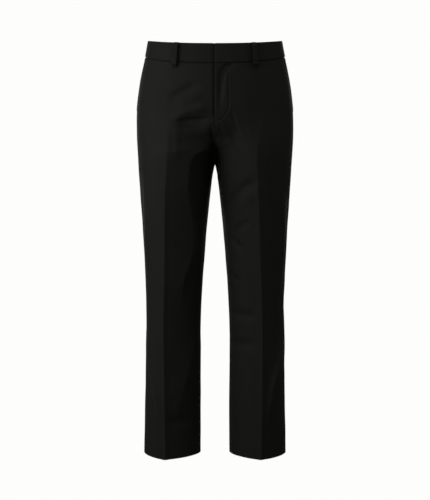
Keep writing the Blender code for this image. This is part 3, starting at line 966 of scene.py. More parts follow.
def give_wall(piece, thickness, thick_share=None):
    """Gives an open sheet its thickness inwards: thick_share(vertex) is the share of it at a point."""
    wall = piece.modifiers.new("wall", "SOLIDIFY")
    wall.thickness = thickness
    wall.offset = -1.0
    wall.material_offset = 1
    wall.material_offset_rim = 0
    if thick_share is not None:
        group = piece.vertex_groups.new(name="wall")
        for vertex in piece.data.vertices:
            group.add([vertex.index], thick_share(vertex), "REPLACE")
        wall.vertex_group = "wall"
    bpy.context.view_layer.objects.active = piece
    piece.select_set(True)
    bpy.ops.object.modifier_apply(modifier="wall")
    bpy.ops.object.shade_smooth_by_angle(angle=SMOOTH_BELOW)
    piece.select_set(False)


def hand_over(piece, node, *materials):
    """Gives a piece its materials, outer face first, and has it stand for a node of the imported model."""
    for material in materials:
        piece.data.materials.append(material)
    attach(piece, "root")
    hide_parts(node)


# Materials.


def add_node(tree, kind, **settings):
    made = tree.nodes.new(kind)
    for name, value in settings.items():
        setattr(made, name, value)
    return made


def set_inputs(made, values):
    for name, value in values.items():
        made.inputs[name].default_value = value


def new_group(name, inputs, outputs):
    """A node group, its inlet and its outlet: inputs gives each input's default, or None for a vector."""
    group = bpy.data.node_groups.new(name, "ShaderNodeTree")
    for label, default in inputs.items():
        kind = "NodeSocketVector" if default is None else "NodeSocketFloat"
        socket = group.interface.new_socket(name=label, in_out="INPUT", socket_type=kind)
        if default is not None:
            socket.default_value = default
    for label in outputs:
        group.interface.new_socket(name=label, in_out="OUTPUT", socket_type="NodeSocketFloat")
    return group, add_node(group, "NodeGroupInput"), add_node(group, "NodeGroupOutput")


def new_material(name):
    """A material with its tree and its shader."""
    material = bpy.data.materials.new(name)
    material.use_nodes = True
    return material, material.node_tree, material.node_tree.nodes["Principled BSDF"]


def add_bump(tree, height, shader, strength, distance):
    bump = add_node(tree, "ShaderNodeBump")
    set_inputs(bump, {"Strength": strength, "Distance": distance})
    tree.links.new(height, bump.inputs["Height"])
    tree.links.new(bump.outputs["Normal"], shader.inputs["Normal"])


def calculate(tree, operation, *values):
    """A Math node: values are sockets or numbers."""
    made = add_node(tree, "ShaderNodeMath", operation=operation)
    for socket, value in zip(made.inputs, values):
        if isinstance(value, bpy.types.NodeSocket):
            tree.links.new(value, socket)
        else:
            socket.default_value = value
    return made.outputs[0]


def weave_group():
    """Fine plain weave: its height and how dark its hollows are."""
    known = bpy.data.node_groups.get("woven yarns")
    if known:
        return known
    inputs = {"Vector": None, "Yarns per metre": 2200.0, "Unevenness": 0.25}
    group, inlet, outlet = new_group("woven yarns", inputs, ("Height", "Shade"))
    scale = add_node(group, "ShaderNodeVectorMath", operation="SCALE")
    group.links.new(inlet.outputs["Vector"], scale.inputs[0])
    group.links.new(inlet.outputs["Yarns per metre"], scale.inputs["Scale"])
    split = add_node(group, "ShaderNodeSeparateXYZ")
    group.links.new(scale.outputs[0], split.inputs[0])
    warp = calculate(group, "SINE", calculate(group, "MULTIPLY", split.outputs["X"], math.pi))
    weft = calculate(group, "SINE", calculate(group, "MULTIPLY", split.outputs["Y"], math.pi))
    crossing = calculate(group, "MULTIPLY", warp, weft)
    yarns = calculate(group, "MULTIPLY_ADD", crossing, 0.5, 0.5)
    slub = add_node(group, "ShaderNodeTexNoise")
    set_inputs(slub, {"Scale": 0.45, "Detail": 2.0})
    group.links.new(scale.outputs[0], slub.inputs["Vector"])
    uneven = calculate(group, "MULTIPLY", slub.outputs["Fac"], inlet.outputs["Unevenness"])
    height = calculate(group, "ADD", yarns, uneven)
    group.links.new(height, outlet.inputs["Height"])
    group.links.new(calculate(group, "MULTIPLY_ADD", height, *WEAVE_SHADE), outlet.inputs["Shade"])
    return group


def tone_and_highlight_group():
    """The cloth's slow variation in tone and gloss, and the painted highlight on pressed creases, crests and
    edges.
    """
    known = bpy.data.node_groups.get("pressed and handled")
    if known:
        return known
    inputs = {"Vector": None, "Worn": 0.0, "Strength": TONE_VARIES}
    group, inlet, outlet = new_group("pressed and handled", inputs, ("Tone", "Gloss"))
    cloud = add_node(group, "ShaderNodeTexNoise")
    set_inputs(cloud, {"Scale": 14.0, "Detail": 3.0})
    group.links.new(inlet.outputs["Vector"], cloud.inputs["Vector"])
    centred = calculate(group, "SUBTRACT", cloud.outputs["Fac"], 0.5)
    tone = calculate(group, "MULTIPLY_ADD", centred, inlet.outputs["Strength"], 1.0)
    # Painted highlight: the colour is lightened where the mask is set, and the cloth made glossier there.
    shine = calculate(group, "MULTIPLY_ADD", inlet.outputs["Worn"], HIGHLIGHT_TONE, tone)
    group.links.new(shine, outlet.inputs["Tone"])
    loss = calculate(group, "MULTIPLY", inlet.outputs["Worn"], HIGHLIGHT_GLOSS)
    gloss = calculate(group, "MULTIPLY_ADD", centred, GLOSS_VARIES, loss)
    group.links.new(gloss, outlet.inputs["Gloss"])
    return group


def cloth_material(name, colour, roughness, yarn_height):
    """Smooth woven cloth with a matt face."""
    known = bpy.data.materials.get(name)
    if known:
        return known
    material, tree, shader = new_material(name)
    set_inputs(shader, {"Metallic": 0.0, "Specular IOR Level": 0.22, "Sheen Weight": 0.035})
    set_inputs(shader, {"Sheen Roughness": 0.45, "Sheen Tint": (0.95, 0.95, 0.90, 1.0)})
    lengths = add_node(tree, "ShaderNodeUVMap", uv_map="UVMap")
    places = add_node(tree, "ShaderNodeTexCoord")
    # The painted highlight's mask: it lightens the colour along creases, crests and edges in place of their
    # highlights.
    worn = add_node(tree, "ShaderNodeAttribute", attribute_name="worn")
    weave = add_node(tree, "ShaderNodeGroup", node_tree=weave_group())
    weave.inputs["Yarns per metre"].default_value = 1.0 / finish_of().weave
    tree.links.new(lengths.outputs["UV"], weave.inputs["Vector"])
    tone_and_highlight = add_node(tree, "ShaderNodeGroup", node_tree=tone_and_highlight_group())
    tree.links.new(places.outputs["Object"], tone_and_highlight.inputs["Vector"])
    tree.links.new(worn.outputs["Fac"], tone_and_highlight.inputs["Worn"])
    shade = calculate(tree, "MULTIPLY", weave.outputs["Shade"], tone_and_highlight.outputs["Tone"])
    tint = add_node(tree, "ShaderNodeVectorMath", operation="SCALE")
    tint.inputs[0].default_value = colour
    tree.links.new(shade, tint.inputs["Scale"])
    tree.links.new(tint.outputs[0], shader.inputs["Base Color"])
    tree.links.new(calculate(tree, "ADD", tone_and_highlight.outputs["Gloss"], roughness), shader.inputs["Roughness"])
    add_bump(tree, weave.outputs["Height"], shader, strength=0.5, distance=yarn_height)
    return material


def panel_cloth():
    return cloth_material("black softshell", finish_of().cloth, finish_of().roughness, YARN_HEIGHT)


def band_cloth():
    return cloth_material("black band cloth", finish_of().band, finish_of().roughness, YARN_HEIGHT)


def inner_cloth():
    return cloth_material("brushed inner face", finish_of().inside, NAP_ROUGHNESS, NAP_HEIGHT)


def thread_material():
    """Twisted thread, a little glossier than the cloth."""
    known = bpy.data.materials.get("black thread")
    if known:
        return known
    material, tree, shader = new_material("black thread")
    set_inputs(shader, {"Metallic": 0.0, "Specular IOR Level": 0.35})
    places = add_node(tree, "ShaderNodeTexCoord")
    twist = add_node(tree, "ShaderNodeTexWave", wave_type="BANDS", bands_direction="DIAGONAL")
    twist.inputs["Scale"].default_value = 900.0
    tree.links.new(places.outputs["Object"], twist.inputs["Vector"])
    tint = add_node(tree, "ShaderNodeVectorMath", operation="SCALE")
    tint.inputs[0].default_value = finish_of().thread
    shade = calculate(tree, "MULTIPLY_ADD", twist.outputs["Fac"], *THREAD_SHADE)
    tree.links.new(shade, tint.inputs["Scale"])
    tree.links.new(tint.outputs[0], shader.inputs["Base Color"])
    rough = calculate(tree, "MULTIPLY_ADD", twist.outputs["Fac"], *THREAD_ROUGHNESS)
    tree.links.new(rough, shader.inputs["Roughness"])
    add_bump(tree, twist.outputs["Fac"], shader, strength=0.6, distance=0.00005)
    return material


# Panels.


def panel_heights():
    """Heights of a panel's rows: closest together at the fly's foot and at the edges."""
    sizes = cut()
    body = stretches(
        (ROWS_INSET, THIGH_STARTS, LEG_ROWS),
        (THIGH_STARTS, sizes.crotch, THIGH_ROWS),
        (sizes.crotch, FOOT_STARTS, CROTCH_ROWS),
        (FOOT_STARTS, FOOT_ENDS, FOOT_ROWS),
        (FOOT_ENDS, sizes.waist_seam - ROWS_INSET, HIP_ROWS),
    )
    return with_edges(0.0, sizes.waist_seam, body)


def panel_turns(edge):
    """Turns of a panel's columns, a row for each of the turns of its outer edge."""
    strip = CENTRE_ARC - MIDDLE_STRIP
    outer = stretches((COLUMNS_FROM_EDGE, LEG_ARC - COLUMNS_FROM_CREASE, OUTER_COLUMNS)) / LEG_ARC
    inner = stretches(
        (COLUMNS_FROM_CREASE, strip, INNER_COLUMNS), (strip, CENTRE_ARC - COLUMNS_FROM_EDGE, MIDDLE_COLUMNS)
    ) / CENTRE_ARC
    start = np.array(EDGE_SPOTS) / LEG_ARC
    crease = 1.0 + np.array(CREASE_SPOTS) / LEG_ARC
    end = 2.0 - np.array(EDGE_SPOTS[::-1]) / CENTRE_ARC
    spots = np.concatenate((start, outer, crease, 1.0 + inner, end))
    edge = edge[:, None]
    return np.where(spots <= 1.0, edge + (1.0 - edge) * spots, spots)


def mouth_width(heights):
    """How far in from the outseam the slant pocket's mouth is cut away."""
    sizes = cut()
    rise = (heights - sizes.pocket_bottom) / (sizes.waist_seam - sizes.pocket_bottom)
    return POCKET_MOUTH * np.maximum(rise, 0.0)


def from_fly_seam(height, turn):
    """Distance from the fly's J seam, positive outside it: straight above, a quarter of an ellipse below."""
    across = (2.0 - turn) * CENTRE_ARC
    down = np.maximum(cut().fly_bottom + FLY_CURVE - height, 0.0)
    size = np.maximum(np.hypot(across / FLY_WIDTH, down / FLY_CURVE), TINY)
    return (size - 1.0) * size / np.hypot(across / FLY_WIDTH**2, down / FLY_CURVE**2)


def crotch_seam_out(line, height, front):
    """Directions out of the cloth along the seam at the middle, which runs through these places.

    Right above the crotch, where front and back all but touch, they point down more than out.
    """
    run = np.gradient(line, axis=0)
    out = np.stack((0.0 * height, -run[:, 2], run[:, 1]), axis=-1) * (1.0 if front else -1.0)
    out = out / np.linalg.norm(out, axis=-1, keepdims=True)
    out[:, 2] -= CROTCH_DOWN * (1.0 - ease((height - cut().crotch) / CROTCH_OPENS))
    return out / np.linalg.norm(out, axis=-1, keepdims=True)


def panel_grid(side, heights, turns, extra, first_reach, last_reach):
    """Places of a panel's grid, its lengths along the cloth, and the painted highlight along its pressed
    crease, its hem's edge and the crests of its thin edges.

    extra gives the relief of its seams. first_reach and last_reach say how far its allowances run on behind
    its neighbours past the first and the last column, a number for each row.
    """
    heights = heights[:, None] + 0.0 * turns
    plain = plain_form(side, heights, turns)
    across, up = metres_along(plain, 1), metres_along(plain, 0)
    from_hem, from_waist = up, up[-1:] - up
    relief = extra(heights, turns, across, across[:, -1:] - across, from_waist)
    crease = np.argmin(np.abs(np.abs(turns) - 1.0), axis=1)
    from_crease = across - np.take_along_axis(across, crease[:, None], 1)
    measure = np.stack((from_crease, up), axis=-1)
    press_share = at(heights, "press") / SECTIONS[0, -1]
    relief = relief + rolled_edge(from_hem, EDGE_ROLL)
    flank = 1.0 - np.abs(from_crease) / PRESSED_WIDTH
    flank = (flank + np.hypot(flank, PRESSED_ROUND)) / 2.0
    relief = relief + PRESSED_RIDGE * press_share * flank
    place = cloth_form(side, heights, turns, relief)
    out = outward(side, heights, turns)
    # The painted highlight: the colour is lightened along the pressed crease, the hem's edge and the crests
    # of the thin edges, in place of their highlights.
    pressed = np.exp(-((from_crease / PRESSED_SHINE) ** 2)) * press_share
    hem_edge = np.exp(-((from_hem / EDGE_SHINE) ** 2))
    front = turns[0, -1] > 1.0
    crest_highlight = ridges_at(plain, FRONT_EDGES, 1)[1] if front else ridges_at(plain, BACK_EDGES, -1)[1]
    worn = np.clip(pressed + hem_edge + crest_highlight, 0.0, 1.0)
    ahead = past_edge(plain, "top")
    place = turn_in(place, out[-1], ahead, "top", WAIST_ALLOWANCE_DEPTH, ALLOWANCE_REACH)
    out, plain = grown(out, ["top"]), grown(plain, ["top"])
    above_crotch = grown(heights[:, :1] > cut().crotch, ["top"])
    for edge, column, reach in (("left", 0, first_reach), ("right", -1, last_reach)):
        reach = np.maximum(np.pad(reach, (0, 2), mode="edge"), TURNED_LIP)
        depth = np.where(reach > TURNED_LIP, ALLOWANCE_DEPTH, TURNED_IN)
        away, ahead = out[:, column], past_edge(plain, edge)
        if abs(turns[0, column]) > 1.0:
            seam = crotch_seam_out(plain[:-2, column], heights[:, column], turns[0, column] > 0.0)
            away = np.where(above_crotch, grown(seam[:, None], ["top"])[:, 0], away)
            ahead = np.where(above_crotch, (-side, 0.0, 0.0), ahead)
        place = turn_in(place, away, ahead, edge, depth, reach)
    edges = ["top", "left", "right"]
    return place, grown(measure, edges), grown(worn, edges)


def panel(name, side, place, measure, worn):
    """A panel of cloth, thicker where its hem is turned up inside."""
    sizes = cut()
    piece = laid_grid(name, place, measure, worn, side)
    hem_top = sizes.hem_depth - sizes.hold
    thin = sizes.cloth / sizes.hem

    def thick_share(vertex):
        return 1.0 if vertex.co.z < hem_top else thin

    give_wall(piece, sizes.hem, thick_share)
    return piece


class TROUSERS_OT_front_panels(bpy.types.Operator):
    """Make the two front panels"""

    bl_idname = "trousers.front_panels"
    bl_label = "Front panels"

    def execute(self, context):
        sizes = cut()
        heights = panel_heights()
        turns = panel_turns(outseam(heights) + mouth_width(heights) / SIDE_ARC)
        for name, side in SIDES.items():

            def extra(height, turn, from_side, from_middle, from_waist):
                in_fly = ease((height - sizes.fly_bottom) / LAP_STARTS)
                in_pocket = ease((height - sizes.pocket_bottom) / POCKET_OPENS)
                lift = MOUTH_LIFT * np.exp(-from_side / MOUTH_LIFT_WIDTH)
                mouth_edge = rolled_edge(from_side, EDGE_ROLL) + lift
                side_seam = seam_relief(from_side) * (1.0 - in_pocket) + mouth_edge * in_pocket
                seam = seam_relief(from_middle)
                if side > 0:
                    lap = LAP_ROLL * np.exp(-(((from_middle - LAP_ROLL_AT) / LAP_ROLL_WIDTH) ** 2))
                    edge = lap + rolled_edge(from_middle, FOLD_ROLL)
                    from_quilt = from_fly_seam(height, turn)
                    quilt = -QUILT_DEPTH * np.exp(-((from_quilt / QUILT_WIDTH) ** 2))
                    outside = (from_quilt - QUILT_ROLL_AT) / QUILT_ROLL_WIDTH
                    quilt = quilt + QUILT_ROLL * np.exp(-(outside**2))
                    fly_height = ease((height - sizes.fly_bottom) / QUILT_WIDTH + QUILT_STARTS)
                    middle = seam * (1.0 - in_fly) + edge * in_fly + quilt * fly_height
                else:
                    near_fly = ease(1.0 - from_middle / LAP_DIP_WIDTH)
                    middle = seam * (1.0 - in_fly) - LAP_DIP * near_fly * in_fly
                return side_seam + middle + seam_relief(from_waist, WAIST_DITCH) - ALLOWANCE_HEIGHT

            below_pocket = np.where(heights < sizes.pocket_bottom, ALLOWANCE_REACH, 0.0)
            reach_up_to = sizes.fly_bottom if side > 0 else sizes.crotch
            below_fly = np.where(heights < reach_up_to, ALLOWANCE_REACH, 0.0)
            place, measure, worn = panel_grid(side, heights, turns, extra, below_pocket, below_fly)
            piece = panel(f"front_cloth_{name}", side, place, measure, worn)
            hand_over(piece, f"front_{name}", panel_cloth(), inner_cloth())
        return {"FINISHED"}


class TROUSERS_OT_back_panels(bpy.types.Operator):
    """Make the two back panels"""

    bl_idname = "trousers.back_panels"
    bl_label = "Back panels"

    def execute(self, context):
        sizes = cut()
        heights = panel_heights()
        turns = -panel_turns(-outseam(heights))[:, ::-1]
        for name, side in SIDES.items():

            def extra(height, turn, from_middle, from_side, from_waist):
                seams = seam_relief(from_side) + seam_relief(from_middle)
                return seams + seam_relief(from_waist, WAIST_DITCH) - ALLOWANCE_HEIGHT

            above_crotch = np.where((heights > sizes.crotch) & (side > 0), ALLOWANCE_REACH, 0.0)
            place, measure, worn = panel_grid(side, heights, turns, extra, above_crotch, 0.0 * heights)
            piece = panel(f"back_cloth_{name}", side, place, measure, worn)
            hand_over(piece, f"back_{name}", panel_cloth(), inner_cloth())
        return {"FINISHED"}


def small_sheet(name, side, height, turn, lift):
    """A plain sheet laid on the garment's form, which hangs on one other piece."""
    place = cloth_form(side, height, turn, lift)
    measure = np.stack((metres_along(place, 1), metres_along(place, 0)), axis=-1)
    piece = laid_grid(name, place, measure, np.zeros(height.shape), side)
    give_wall(piece, cut().cloth)
    return piece


class TROUSERS_OT_side_pockets(bpy.types.Operator):
    """Make the facings behind the slant pocket mouths"""

    bl_idname = "trousers.side_pockets"
    bl_label = "Side pockets"

    def execute(self, context):
        sizes = cut()
        bottom = sizes.pocket_bottom - FACING_BELOW
        heights = stretches((bottom, sizes.waist_seam + FACING_BEHIND, FACING_ROWS))
        dip_ends = FACING_DIP_ENDS / FACING_UNDER
        behind = stretches((-FACING_BEHIND, FACING_DIP_ENDS, FACING_BEHIND_COLUMNS))[:-1] / FACING_UNDER
        spots = np.concatenate((behind, stretches((dip_ends, 1.0, FACING_COLUMNS))))
        width = np.where(spots < dip_ends, FACING_UNDER, (mouth_width(heights) + FACING_UNDER)[:, None])
        turns = outseam(heights)[:, None] + spots * width / SIDE_ARC
        height = heights[:, None] + 0.0 * turns
        dip = FACING_DIP * ease(1.0 - (turns - outseam(height)) * SIDE_ARC / FACING_DIP_ENDS)
        under = -(sizes.cloth + sizes.gap + FACING_SINK) - dip
        for name, side in SIDES.items():
            piece = small_sheet(f"pocket_facing_{name}", side, height, turns, under)
            hand_over(piece, f"side_pocket_{name}", panel_cloth(), inner_cloth())
        return {"FINISHED"}


class TROUSERS_OT_fly_underlap(bpy.types.Operator):
    """Make the under layer of the fly"""

    bl_idname = "trousers.fly_underlap"
    bl_label = "Fly underlap"

    def execute(self, context):
        sizes = cut()
        bottom = sizes.fly_bottom - UNDERLAP_BELOW
        share = stretches((0.0, 1.0, UNDERLAP_ROWS))[:, None]
        height = bottom + (sizes.waist_seam - sizes.gap - bottom) * share
        width = UNDERLAP_WIDTH * ease(UNDERLAP_ROUND + share / UNDERLAP_ROUND)
        spots = stretches((0.0, 1.0, UNDERLAP_COLUMNS))[None, :]
        across = spots * (UNDERLAP_BEHIND + width) - UNDERLAP_BEHIND
        height, turn = height + 0.0 * across, 2.0 + across / CENTRE_ARC
        under = -(LAP_DIP + sizes.cloth + sizes.gap)
        piece = small_sheet("fly_under_layer", -1, height, turn, under)
        hand_over(piece, "fly_underlap", panel_cloth(), inner_cloth())
        return {"FINISHED"}


class TROUSERS_OT_waistband(bpy.types.Operator):
    """Make the two halves of the waistband, the left one lapping over the right one at centre front"""

    bl_idname = "trousers.waistband"
    bl_label = "Waistband"

    def execute(self, context):
        sizes = cut()
        foot_rows, middle_rows, head_rows = BAND_ROWS
        rise = stretches(
            (0.0, BAND_FOOT, foot_rows),
            (BAND_FOOT, BAND_HEAD, middle_rows),
            (BAND_HEAD, sizes.waist_top - sizes.waist_seam, head_rows),
        )
        for name, side in SIDES.items():
            end = 2.0 if side > 0 else 2.0 + UNDERLAP_WIDTH / CENTRE_ARC
            edge = BAND_END / CENTRE_ARC
            turns = stretches(
                (-2.0, -2.0 + edge, BAND_BACK_COLUMNS / CENTRE_ARC),
                (-2.0 + edge, end - edge, BAND_COLUMNS),
                (end - edge, end, BAND_FRONT_COLUMNS / CENTRE_ARC),
            )
            inward = np.where(turns < 0.0, 1.0, -1.0) * (np.abs(turns) > 2.0 - edge)
            turns = turns + inward * SEAM_EDGE / CENTRE_ARC
            height = sizes.waist_seam + sizes.gap + rise[:, None] + 0.0 * turns[None, :]
            height = np.minimum(height, sizes.waist_top)
            turn = turns[None, :] + 0.0 * height
            lift = np.full(height.shape, BAND_PROUD)
            if side < 0:
                step = LAP_DIP_WIDTH / CENTRE_ARC
                lift = BAND_PROUD - (sizes.band + 2.0 * sizes.gap) * ease((turn - 2.0 + step) / step)
            plain = plain_form(side, height, turn)
            across, up = metres_along(plain, 1), metres_along(plain, 0)
            from_top, from_end = up[-1:] - up, across[:, -1:] - across
            lift = lift + rolled_edge(up, BAND_FOOT_ROLL)
            lift = lift + rolled_edge(from_top, FOLD_ROLL)
            lift = lift + rolled_edge(from_end, FOLD_ROLL)
            lift = lift + seam_relief(across) * BAND_DITCH
            place = cloth_form(side, height, turn, lift)
            measure = np.stack((across, up), axis=-1)
            # Painted highlight along the band's top edge: its colour is lightened there.
            worn = np.exp(-((from_top / EDGE_SHINE) ** 2))
            piece = laid_grid(f"waistband_cloth_{name}", place, measure, worn, side)
            give_wall(piece, sizes.band)
            hand_over(piece, f"waistband_{name}", band_cloth(), inner_cloth())
        return {"FINISHED"}


def loop_list():
    """Each belt loop's node, side and turn."""
    loops = [("belt_loop_back", 1, LOOP_TURNS["back"])]
    for name, side in SIDES.items():
        loops += [(f"belt_loop_{place}_{name}", side, LOOP_TURNS[place]) for place in ("front", "side")]
    return loops


def loop_length():
    return cut().waist_top - cut().waist_seam + LOOP_BELOW


def loop_spots(start, end, step):
    """Spots from start to end of a loop's grid, closer together at both."""
    return stretches(
        (start, start + LOOP_EDGE, LOOP_EDGE_STEP),
        (start + LOOP_EDGE, end - LOOP_EDGE, step),
        (end - LOOP_EDGE, end, LOOP_EDGE_STEP),
    )


def loop_form(side, middle, across, rise, lift):
    """Places on a belt loop: across is measured from its middle line and rise up from its lower end."""
    sizes = cut()
    bottom = sizes.waist_seam - LOOP_BELOW
    length = sizes.waist_top - bottom
    height = bottom + rise
    on_band = ease((height - sizes.waist_seam + LOOP_RISE) / LOOP_RISE)
    from_end = np.minimum(rise, length - rise)
    stand = sizes.gap + BAND_PROUD * on_band + LOOP_STAND * ease(from_end / LOOP_END)
    beside = plain_form(side, sizes.waist_seam, np.array((middle, middle + TURN_STEP)))
    arc = np.linalg.norm(beside[1] - beside[0]) / TURN_STEP
    return cloth_form(side, height, middle + across / arc, stand + sizes.loop + lift)


class TROUSERS_OT_belt_loops(bpy.types.Operator):
    """Make the five belt loops"""

    bl_idname = "trousers.belt_loops"
    bl_label = "Belt loops"

    def execute(self, context):
        sizes = cut()
        half, length = sizes.loop_width / 2.0, loop_length()
        spots = loop_spots(-half, half, LOOP_COLUMNS)
        rises = loop_spots(0.0, length, LOOP_ROWS)
        across, rise = np.meshgrid(spots, rises)
        from_end = np.minimum(rise, length - rise)
        lift = rolled_edge(half - np.abs(across), EDGE_ROLL) + rolled_edge(from_end, EDGE_ROLL)
        from_row = np.abs(np.abs(across) - (half - LOOP_ROW_INSET))
        lift = lift - LOOP_GROOVE * np.exp(-((from_row / LOOP_GROOVE_WIDTH) ** 2))
        for node, side, middle in loop_list():
            place = loop_form(side, middle, across, rise, lift)
            measure = np.stack((across, rise), axis=-1)
            name = node.replace("belt_loop", "loop_strip")
            piece = laid_grid(name, place, measure, np.zeros(across.shape), side)
            give_wall(piece, sizes.loop)
            hand_over(piece, node, band_cloth(), band_cloth())
        return {"FINISHED"}


# Stitching.


def stitch_mesh():
    """One stitch, 1 long and 1 thick, with its ends turned down: a stretched ball.

    Its faces are sorted, because a new ball's faces come in another order each time.
    """
    deselect()
    bpy.ops.mesh.primitive_uv_sphere_add(
        segments=STITCH_SIDES, ring_count=STITCH_SIDES, radius=0.5, rotation=(0.0, math.pi / 2.0, 0.0)
    )
    ball = bpy.context.object
    bpy.ops.object.transform_apply(location=False, rotation=True, scale=False)
    corners = np.array([vertex.co[:] for vertex in ball.data.vertices])
    faces = sorted(tuple(polygon.vertices) for polygon in ball.data.polygons)
    bpy.data.objects.remove(ball)
    corners[:, 2] -= STITCH_BENDS * corners[:, 0] ** 2
    return corners, faces


def sew(name, lines):
    """Rows of stitches as one mesh: a line is (places, directions out), one of each for every needle hole."""
    sizes = cut()
    corners, faces = stitch_mesh()
    all_corners, all_faces = [], []
    for places, out in lines:
        for start, end, up in zip(places[:-1], places[1:], out[:-1]):
            along = end - start
            length = np.linalg.norm(along)
            along = along / length
            beside = np.cross(up, along)
            beside = beside / np.linalg.norm(beside)
            above = np.cross(along, beside)
            scaled = corners * (length * STITCH_SHOWS, sizes.thread, sizes.thread)
            turned = scaled[:, :1] * along + scaled[:, 1:2] * beside + scaled[:, 2:] * above
            base = len(all_corners) * len(corners)
            all_corners.append((start + end) / 2.0 + turned)
            all_faces += [tuple(base + corner for corner in face) for face in faces]
    mesh = bpy.data.meshes.new(name)
    mesh.from_pydata(np.concatenate(all_corners).tolist(), [], all_faces)
    mesh.shade_smooth()
    piece = bpy.data.objects.new(name, mesh)
    bpy.context.scene.collection.objects.link(piece)
    mesh.materials.append(thread_material())
    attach(piece, "root")


def evenly(places, step):
    """Points about step apart along a fine line of places."""
    lengths = metres_along(places[:, None], 0)[:, 0]
    count = max(round(lengths[-1] / step), 1)
    wanted = np.linspace(0.0, lengths[-1], count + 1)
    return np.stack([np.interp(wanted, lengths, places[:, axis]) for axis in range(3)], axis=-1)


def line_between(low, high, step):
    """Needle holes along low, with the directions from low to high."""
    places, above = evenly(low, step), evenly(high, step)
    count = min(len(places), len(above))
    out = above[:count] - places[:count]
    return places[:count], out / np.linalg.norm(out, axis=-1, keepdims=True)


def loop_line(side, middle, across, rise, lift, step):
    """A row of stitches on a belt loop."""
    low = loop_form(side, middle, across, rise, lift)
    high = loop_form(side, middle, across, rise, lift + STITCH_UP)
    return line_between(low, high, step)


class TROUSERS_OT_stitching(bpy.types.Operator):
    """Sew the fly's J seam, the rows along the belt loops and the bar tacks"""

    bl_idname = "trousers.stitching"
    bl_label = "Stitching"

    def execute(self, context):
        sizes = cut()
        angle = np.linspace(0.0, math.pi / 2.0, FOOT_POINTS)
        foot_height = sizes.fly_bottom + FLY_CURVE * (1.0 - np.cos(angle))
        foot_across = FLY_WIDTH * np.sin(angle) + FLY_ROW_ENDS * (1.0 - np.sin(angle))
        side_ends = sizes.fly_bottom + FLY_CURVE, sizes.waist_seam - FLY_SEAM_TOP
        side_height = np.linspace(*side_ends, SIDE_POINTS)[1:]
        side_across = np.full(side_height.shape, FLY_WIDTH)
        height = np.concatenate((foot_height, side_height))
        turn = 2.0 - np.concatenate((foot_across, side_across)) / CENTRE_ARC
        lift = -QUILT_DEPTH + STITCH_SINKS
        low, high = (cloth_form(1, height, turn, level) for level in (lift, lift + STITCH_UP))
        sew("fly_stitches", [line_between(low, high, sizes.stitch)])
        half, length = sizes.loop_width / 2.0, loop_length()
        row_rise = np.linspace(LOOP_ROW_ENDS, length - LOOP_ROW_ENDS, ROW_POINTS)
        tack_across = np.linspace(-half + TACK_ENDS, half - TACK_ENDS, TACK_POINTS)
        for node, side, middle in loop_list():
            lines = []
            for way in (-1.0, 1.0):
                across = np.full(row_rise.shape, way * (half - LOOP_ROW_INSET))
                lines.append(loop_line(side, middle, across, row_rise, -STITCH_SINKS, sizes.stitch))
            for level in (TACK_INSET, length - TACK_INSET):
                rise = np.full(tack_across.shape, level)
                lines.append(loop_line(side, middle, tack_across, rise, 0.0, TACK_STITCH))
            sew(node.replace("belt_loop", "loop_stitches"), lines)
        return {"FINISHED"}


# The studio.


def aim(item, target):
    item.rotation_euler = (Vector(target) - item.location).to_track_quat("-Z", "Y").to_euler()


def area_light(name, place, target, size, power):
    """A soft rectangular light that the camera doesn't see."""
    light = bpy.data.lights.new(name, "AREA")
    light.shape = "RECTANGLE"
    light.size, light.size_y = size
    light.energy = power
    item = bpy.data.objects.new(name, light)
    bpy.context.scene.collection.objects.link(item)
    item.location = place
    aim(item, target)
    item.visible_camera = False


def floor_material(colour):
    """A pale floor that looks the same all over, with no shadow on it."""
    material, _, shader = new_material("pale floor")
    set_inputs(shader, {"Base Color": (0.0, 0.0, 0.0, 1.0), "Specular IOR Level": 0.0})
    set_inputs(shader, {"Emission Color": (*colour, 1.0), "Emission Strength": 1.0})
    return material


def world_of(place):
    """The pale surroundings: the camera sees them in the floor's colour, and the cloth gets a dim light."""
    world = bpy.data.worlds.new("studio")
    world.use_nodes = True
    tree = world.node_tree
    seen = tree.nodes["Background"]
    set_inputs(seen, {"Color": (*place.floor, 1.0)})
    around = add_node(tree, "ShaderNodeBackground")
    set_inputs(around, {"Color": (*AROUND_COLOUR, 1.0), "Strength": place.ambient})
    path, mix = add_node(tree, "ShaderNodeLightPath"), add_node(tree, "ShaderNodeMixShader")
    tree.links.new(path.outputs["Is Camera Ray"], mix.inputs["Fac"])
    tree.links.new(around.outputs[0], mix.inputs[1])
    tree.links.new(seen.outputs[0], mix.inputs[2])
    tree.links.new(mix.outputs[0], tree.nodes["World Output"].inputs["Surface"])
    return world


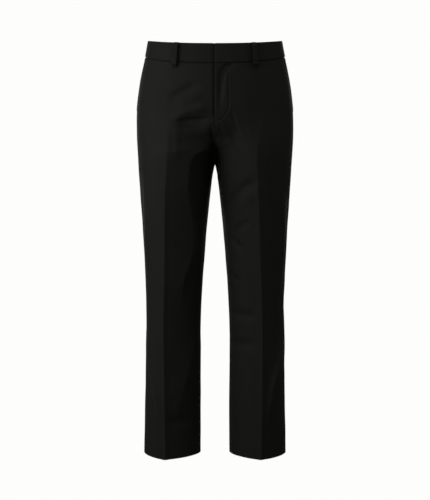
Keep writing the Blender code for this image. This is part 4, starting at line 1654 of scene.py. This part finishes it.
class TROUSERS_OT_stage(bpy.types.Operator):
    """Set up the camera, the pale floor and the soft lights"""

    bl_idname = "trousers.stage"
    bl_label = "Stage"

    def execute(self, context):
        place, sizes = studio(), cut()
        scene = context.scene
        camera = bpy.data.cameras.new("camera")
        camera.sensor_width = SENSOR
        camera.lens = camera.sensor_width / 2.0 * place.distance / place.half_view
        item = bpy.data.objects.new("camera", camera)
        scene.collection.objects.link(item)
        item.location = (0.0, -place.distance, place.eye - sizes.hold)
        item.rotation_euler = (math.pi / 2.0, 0.0, 0.0)
        scene.camera = item

        deselect()
        below = (0.0, 0.0, -sizes.hold - place.floor_drop)
        bpy.ops.mesh.primitive_circle_add(
            vertices=FLOOR_SIDES, radius=FLOOR_RADIUS, fill_type="NGON", location=below
        )
        floor = context.object
        floor.name = "floor"
        bpy.ops.object.transform_apply(location=True, rotation=False, scale=False)
        floor.data.materials.append(floor_material(place.floor))
        floor.visible_diffuse = False
        floor.visible_glossy = False

        for name, stand, target, size in LIGHTS:
            area_light(name, stand, target, size, getattr(place, name.split()[0]))
        scene.world = world_of(place)
        scene.view_settings.view_transform = "Standard"
        return {"FINISHED"}


OPERATORS = (
    TROUSERS_OT_waistband,
    TROUSERS_OT_front_panels,
    TROUSERS_OT_back_panels,
    TROUSERS_OT_side_pockets,
    TROUSERS_OT_fly_underlap,
    TROUSERS_OT_belt_loops,
    TROUSERS_OT_stitching,
    TROUSERS_OT_stage,
)


class TROUSERS_PT_panel(bpy.types.Panel):
    """Sizes, finish and pieces of the trousers"""

    bl_label = "Trousers"
    bl_idname = "TROUSERS_PT_panel"
    bl_space_type = "VIEW_3D"
    bl_region_type = "UI"
    bl_category = "Trousers"

    def draw(self, context):
        for group in (cut(), finish_of(), studio()):
            box = self.layout.box()
            for name in group.bl_rna.properties.keys():
                if name not in ("rna_type", "name"):
                    box.prop(group, name)
        for operator in OPERATORS:
            self.layout.operator(operator.bl_idname)


CLASSES = (TrousersCut, TrousersFinish, TrousersStudio, *OPERATORS, TROUSERS_PT_panel)


def register():
    for item in CLASSES:
        bpy.utils.register_class(item)
    bpy.types.Scene.trousers_cut = PointerProperty(type=TrousersCut)
    bpy.types.Scene.trousers_finish = PointerProperty(type=TrousersFinish)
    bpy.types.Scene.trousers_studio = PointerProperty(type=TrousersStudio)


def unregister():
    del bpy.types.Scene.trousers_studio
    del bpy.types.Scene.trousers_finish
    del bpy.types.Scene.trousers_cut
    for item in reversed(CLASSES):
        bpy.utils.unregister_class(item)


def main():
    register()
    for operator in OPERATORS:
        getattr(bpy.ops.trousers, operator.bl_idname.split(".")[1])()


if __name__ == "__main__":
    main()
